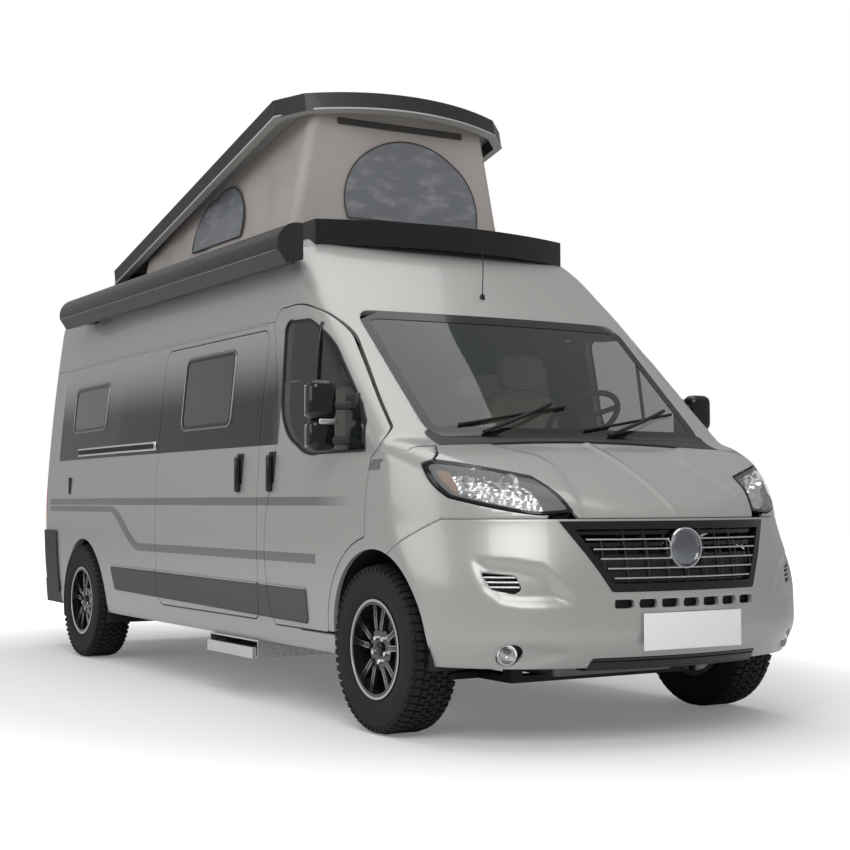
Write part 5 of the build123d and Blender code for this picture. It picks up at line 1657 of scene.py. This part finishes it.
def pattern_area():
    """The band's flat cut: a front, two sides and a back, less what the round corners save."""
    front, back = tent_top(tent_front) - low_z, tent_top(tent_back) - low_z
    lean = lean_in / lean_height
    ends = sum(2 * tent_half * (1 - lean * high / 2) * high for high in (front, back))
    flanks = 2 * (tent_back - tent_front) * (front + back) / 2 * wall_slant
    corners = 2 * (2 - math.pi / 2) * tent_corner * (front + back)
    return ends + flanks - corners


def fold_down(obj):
    """Gives a piece of the tent its own copy of its mesh."""
    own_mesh(obj)


pattern_area()
fold_down(tent_piece)


def canvas_patch(name, shape, to_wall, material, lift):
    """A patch sewn on the canvas: a flat outline laid over the wall."""
    (u0, v0), (u1, v1) = shape.min(axis=0), shape.max(axis=0)
    fine_step = min(0.018, (v1 - v0) / 8)
    columns, rows = steps(u0, u1, fine_step), steps(v0, v1, fine_step)
    u, v = np.meshgrid(columns, rows, indexing="ij")
    flat_mesh = (stack(0, u.ravel(), v.ravel()), grid_faces(u).tolist())
    points, faces = trim(flat_mesh, keep_inside(shape))
    points = np.array([to_wall(b, c, lift) for _, b, c in points])
    obj = finish_mesh(raw_object(name, points, faces), (0, 0.5, 2.8))
    obj.data.materials.append(material)
    place(obj, "van")
    size = sorted((u1 - u0, v1 - v0))
    size[0] * 1.05
    size[1] * 1.05
    fold_down(obj)
    edge = [to_wall(b, c, lift + 0.001) for b, c in np.concatenate([shape, shape[:1]])]
    seam = tubes(name + "_seam", [edge], 0.004, seam_grey, "van")
    fold_down(seam)


def front_wall(x, z, lift):
    """A place on the tent's front."""
    return x, tent_front - lift, z


def side_wall(side):
    """Gives places on one of the tent's sides."""

    def wall(y, z, lift):
        half = tent_half * (1 - lean_in * (z - low_z) / lean_height)
        return side * (half - 0.006 + lift), y, z

    return wall


window_front = outline(
    (-0.340, 2.590), (0.500, 2.590), ((0.470, 2.800), (0.330, 2.955)), ((0.060, 3.050), (-0.220, 2.965)),
    ((-0.345, 2.800), (-0.340, 2.590)),
)
canvas_patch("tent_window_front", window_front, front_wall, mosquito_net, 0.003)
canvas_patch(
    "tent_strip_front", rounded(-0.400, 0.400, 3.108, 3.136, 0.004), front_wall, seam_grey, 0.003,
)
for side_name, side in sides:
    window_side = outline(
        (0.160, 2.560), (0.880, 2.560), ((0.840, 2.760), (0.640, 2.860)),
        ((0.430, 2.895), (0.240, 2.800)), ((0.170, 2.700), (0.160, 2.560)),
    )
    canvas_patch(
        f"tent_window_{side_name}", window_side, side_wall(side), mosquito_net, 0.012,
    )

# Lifting roof: a laminated shell, black outside and lined in pale grey, hinged at its rear edge. A grey
# bead runs round its lower edge.
roof_grey = plastic("roof_grey", (0.42, 0.42, 0.40), 0.45, grain=0.2)


def roof_shell_material():
    """Gloss black skin outside, light grey lining where the surface looks down."""
    s = Surface("roof_shell", (0.010, 0.010, 0.011), roughness=0.45, coat=0.15)
    normal = s.node("TexCoord", {}, output="Normal", raw=True)
    split = s.tree.nodes.new("ShaderNodeSeparateXYZ")
    s.tree.links.new(normal, split.inputs[0])
    under = Value(s, split.outputs[2]) < -0.60
    s.set("Base Color", s.blend(under, (0.010, 0.010, 0.011), (0.36, 0.36, 0.345)))
    s.set("Roughness", under.ramp(0.0, 1.0, 0.45, 0.65))
    return s.material


roof_shell = roof_shell_material()
finish_nodes(roof_shell, "pop_roof")


def lifted_roof(x, y, z):
    """From the closed roof to its raised place."""
    cos, sin = math.cos(roof_turn), math.sin(roof_turn)
    dy, dz = y - hinge_y, z - hinge_z
    return x, hinge_y + dy * cos + dz * sin, hinge_z - dy * sin + dz * cos


roof_half = 0.742
front_edge = hinge_y - 2.830
bow = arc((-0.612, front_edge + 0.130), (0.0, front_edge), (0.612, front_edge + 0.130), 24)
rim_line = [
    (-roof_half, 2.095), (-roof_half, front_edge + 0.260), *bow,
    (roof_half, front_edge + 0.260), (roof_half, 2.095),
]
bead = [lifted_roof(x * 0.998, y + 0.002, 2.520) for x, y in rim_line]
tubes("roof_bead", [bead], 0.007, roof_grey, "pop_roof_body")

# Awning: an extruded and anodised case on brackets at the roof's edge, with two seams along its front
# where the awning's lead rail comes out.
def anodised_case():
    """Dark anodised aluminium with fine lines along the case."""
    s = Surface("anodised", (0.045, 0.045, 0.046), roughness=0.34, metallic=0.8, coat=0.2)
    lines = s.noise(40.0, 3.0, (18, 0.03, 18))
    s.set("Roughness", lines.ramp(0.3, 0.7, 0.26, 0.42))
    s.set("Base Color", s.blend(lines, (0.036, 0.036, 0.037), (0.060, 0.060, 0.061)))
    return s.material


anodised = anodised_case()
finish_nodes(anodised, "awning_case")
tubes(
    "awning_line",
    [[(-1.063, -1.14, 2.266), (-1.063, 2.27, 2.266)], [(-1.050, -1.14, 2.345), (-1.050, 2.27, 2.345)]],
    0.003, satin_dark, "van",
)

# Rear fittings: ribbed lamps with red, amber and clear chambers set into the corners, black hinges and
# handle screwed to the doors, and a blank plate.
def tail_lens_material():
    """Red lens with an amber and a clear chamber and fine ribs."""
    s = Surface("tail_lens", (0.42, 0.010, 0.008), roughness=0.12, coat=0.8)
    ribs = s.node("TexWave", {"Vector": s.place, "Scale": 40.0}, output="Fac", bands_direction="Z")
    amber = s.z.between(0.87, 0.96)
    clear = s.z.between(0.79, 0.87)
    color = s.blend(amber, (0.40, 0.010, 0.008), (0.75, 0.22, 0.02))
    s.set("Base Color", s.blend(clear, color, (0.62, 0.62, 0.62)))
    s.bump(ribs, 0.0006, 0.6)
    return s.material


tail_lens = tail_lens_material()
for side_name, side in sides:
    lamp = side_grid(2.80, 2.999, 0.66, 1.16, 0.012, side)
    shape = rounded(2.852, 3.05, 0.692, 1.128, 0.004)
    piece = trimmed(lamp, keep_inside(shape), lambda p: np.abs(p[:, 0]) - 0.925)
    nodes = ["tail_lamps"] if side < 0 else []
    skin(f"tail_lamp_{side_name}", piece, tail_lens, "van", nodes, depth=0.02)
for side_name, side in sides:
    body = f"rear_door_{side_name}_body"
    hinges = Form()
    for z, middle in ((0.75, 0.810), (1.35, 0.800), (1.85, 0.760)):
        hinges.box(
            (side * middle - 0.030, 2.960, z - 0.04), (side * middle + 0.030, 2.9985, z + 0.04), 0.008,
        )
    hinges.done(f"rear_hinges_{side_name}", matte_black, body)
handle = (0.040, 2.965, 1.06), (0.200, 2.998, 1.13), 0.012
slab("rear_handle", *handle, matte_black, "rear_door_left_body")
plate = (-0.62, 2.984, 0.78), (-0.10, 2.998, 0.90), 0.003
slab("rear_plate", *plate, white_plate, "rear_door_right_body")

# Cab: foam seats in stitched cloth with cream head rests, on moulded bases. The dashboard is grained
# plastic, the steering wheel is soft black, and the beds and cupboards behind are faced board.
def fabric_material(name, color):
    """Seat cloth with a fine weave."""
    s = Surface(name, color, roughness=0.9)
    weave = s.noise(500.0, 2.0)
    s.set("Base Color", s.blend(weave, tuple(c * 0.85 for c in color), tuple(c * 1.1 for c in color)))
    s.bump(weave, 0.0008, 0.4)
    return s.material


seat_cloth = fabric_material("seat_cloth", (0.60, 0.54, 0.43))
board = plastic("cabinet_board", (0.52, 0.50, 0.46), 0.45)
cream_cloth = fabric_material("cream_cloth", (0.74, 0.70, 0.60))
finish_nodes(dark_plastic, "dashboard")
finish_nodes(matte_black, "steering_wheel")
finish_nodes(board, "furniture")


seat_middle, seat_inner, seat_outer = 0.480, 0.242, 0.718


def cushion(name, low, high, material, crown=0.018, nodes=()):
    """A stuffed block: pulled in along its seams and full in the middle."""
    form = bmesh.new()
    bmesh.ops.create_cube(form, size=2)
    bmesh.ops.subdivide_edges(form, edges=form.edges[:], cuts=11, use_grid_fill=True)
    low, high = Vector(low), Vector(high)
    half = (high - low) / 2
    middle = (high + low) / 2
    for v in form.verts:
        q = Vector(v.co)
        length = (abs(q.x) ** 6 + abs(q.y) ** 6 + abs(q.z) ** 6) ** (1 / 6)
        q = q / max(length, 1e-6)
        crowned = Vector(q)
        for k in range(3):
            a, b = q[(k + 1) % 3], q[(k + 2) % 3]
            if abs(q[k]) > 0.7:
                crowned[k] = q[k] * (1 - crown / max(half[k], 0.02) * (1 - (1 - a * a) * (1 - b * b)))
        v.co = middle + Vector((crowned.x * half.x, crowned.y * half.y, crowned.z * half.z))
    bmesh.ops.recalc_face_normals(form, faces=form.faces)
    data = bpy.data.meshes.new(name)
    form.to_mesh(data)
    form.free()
    obj = linked(name, data)
    data.materials.append(material)
    data.shade_smooth()
    rounding = obj.modifiers.new("rounding", "SUBSURF")
    rounding.levels = rounding.render_levels = 1
    place(obj, "van", nodes)


for side_name, side in sides:
    x0, x1 = sorted((side * seat_inner, side * seat_outer))
    middle = side * seat_middle
    cushion(
        f"seat_cushion_{side_name}", (x0, -1.408, 0.872), (x1, -1.000, 0.998), seat_cloth,
        nodes=["cab_seats"] if side < 0 else (),
    )
    cushion(f"seat_back_{side_name}", (x0, -1.085, 0.985), (x1, -0.936, 1.618), seat_cloth)
    rest = (middle - 0.135, -1.070, 1.628), (middle + 0.135, -0.955, 1.826)
    cushion(f"head_rest_{side_name}", *rest, cream_cloth, crown=0.012)
    base = (x0 + 0.02, -1.390, 0.604), (x1 - 0.02, -0.960, 0.880), 0.02
    slab(f"seat_base_{side_name}", *base, dark_plastic, "van")
    posts = Form()
    for dx in (-0.05, 0.05):
        posts.rod((middle + dx, -1.012, 1.600), (middle + dx, -1.012, 1.650), 0.006, 12)
    posts.done(f"head_rest_posts_{side_name}", chrome, "van")

# Camera: it stands where the photographer stood, at about a metre's height, with the lens that was
# fitted to the wheels, the door lines and the roof lines.
camera_place = (-4.340, -8.105, 1.026)
camera_turn = math.radians(-30.71)
camera_pitch = math.radians(2.77)
camera_roll = math.radians(-0.15)
camera_lens = 66.04
camera = linked("camera", bpy.data.cameras.new("camera"))
camera.data.lens = camera_lens
camera.location = camera_place
camera.rotation_euler = (
    Matrix.Rotation(camera_turn, 3, "Z") @ Matrix.Rotation(math.pi / 2 + camera_pitch, 3, "X")
    @ Matrix.Rotation(camera_roll, 3, "Z")
).to_euler()
camera.data.clip_end = 100
bpy.context.scene.camera = camera

# Stage: a white paper floor that takes the shadow close by, three soft lamps and a pale sky. None of
# it belongs to the van.
def stage_material(name, color, floor_share):
    """Pale paper that turns to plain white away from the object, and takes its shadow close by."""
    s = Surface(name, color, roughness=0.7)
    seen = s.node("LightPath", {}, output="Is Camera Ray")
    seen = seen.maths("MAXIMUM", s.node("LightPath", {}, output="Is Transmission Ray"))
    away = (s.x * s.x + s.y * s.y * 0.45).maths("SQRT").ramp(2.0, 4.6, floor_share, 1.0)
    s.shader.inputs["Emission Strength"].default_value = 1.0
    s.set("Emission Color", s.blend(seen * away, (0, 0, 0), (1, 1, 1)))
    return s.material


floor_data = bpy.data.meshes.new("floor")
floor_data.from_pydata([(-30, -30, 0), (30, -30, 0), (30, 40, 0), (-30, 40, 0)], [], [(0, 1, 2, 3)])
floor = linked("floor", floor_data)
floor_data.materials.append(stage_material("floor_paper", (0.80, 0.80, 0.80), 0.16))


def area_light(name, place_at, target, size, power):
    """A soft rectangular lamp that points at a target."""
    light = bpy.data.lights.new(name, "AREA")
    light.shape = "RECTANGLE"
    light.size, light.size_y = size
    light.energy = power
    obj = linked(name, light)
    obj.location = place_at
    obj.rotation_euler = (Vector(target) - Vector(place_at)).to_track_quat("-Z", "Y").to_euler()


area_light("key", (-6.0, -9.0, 8.0), (0, -0.5, 1.0), (7, 6), 560)
area_light("side", (-10.0, 1.5, 4.0), (0, 0.5, 1.2), (8, 4), 170)
area_light("top", (0, 0.5, 9.5), (0, 0.5, 0), (8, 12), 430)
world = bpy.data.worlds.new("world")
bpy.context.scene.world = world
world.use_nodes = True
tree = world.node_tree
background = tree.nodes["Background"]
background.inputs["Color"].default_value = (1, 1, 1, 1)
path, seen, strength = (
    tree.nodes.new("ShaderNode" + kind) for kind in ("LightPath", "Math", "MapRange")
)
seen.operation = "MAXIMUM"
strength.inputs["To Min"].default_value = 0.38
strength.inputs["To Max"].default_value = 1.0
for source, target in (
    (path.outputs["Is Camera Ray"], seen.inputs[0]),
    (path.outputs["Is Transmission Ray"], seen.inputs[1]),
    (seen.outputs[0], strength.inputs["Value"]),
    (strength.outputs[0], background.inputs["Strength"]),
):
    tree.links.new(source, target)
bpy.context.scene.view_settings.view_transform = "Standard"
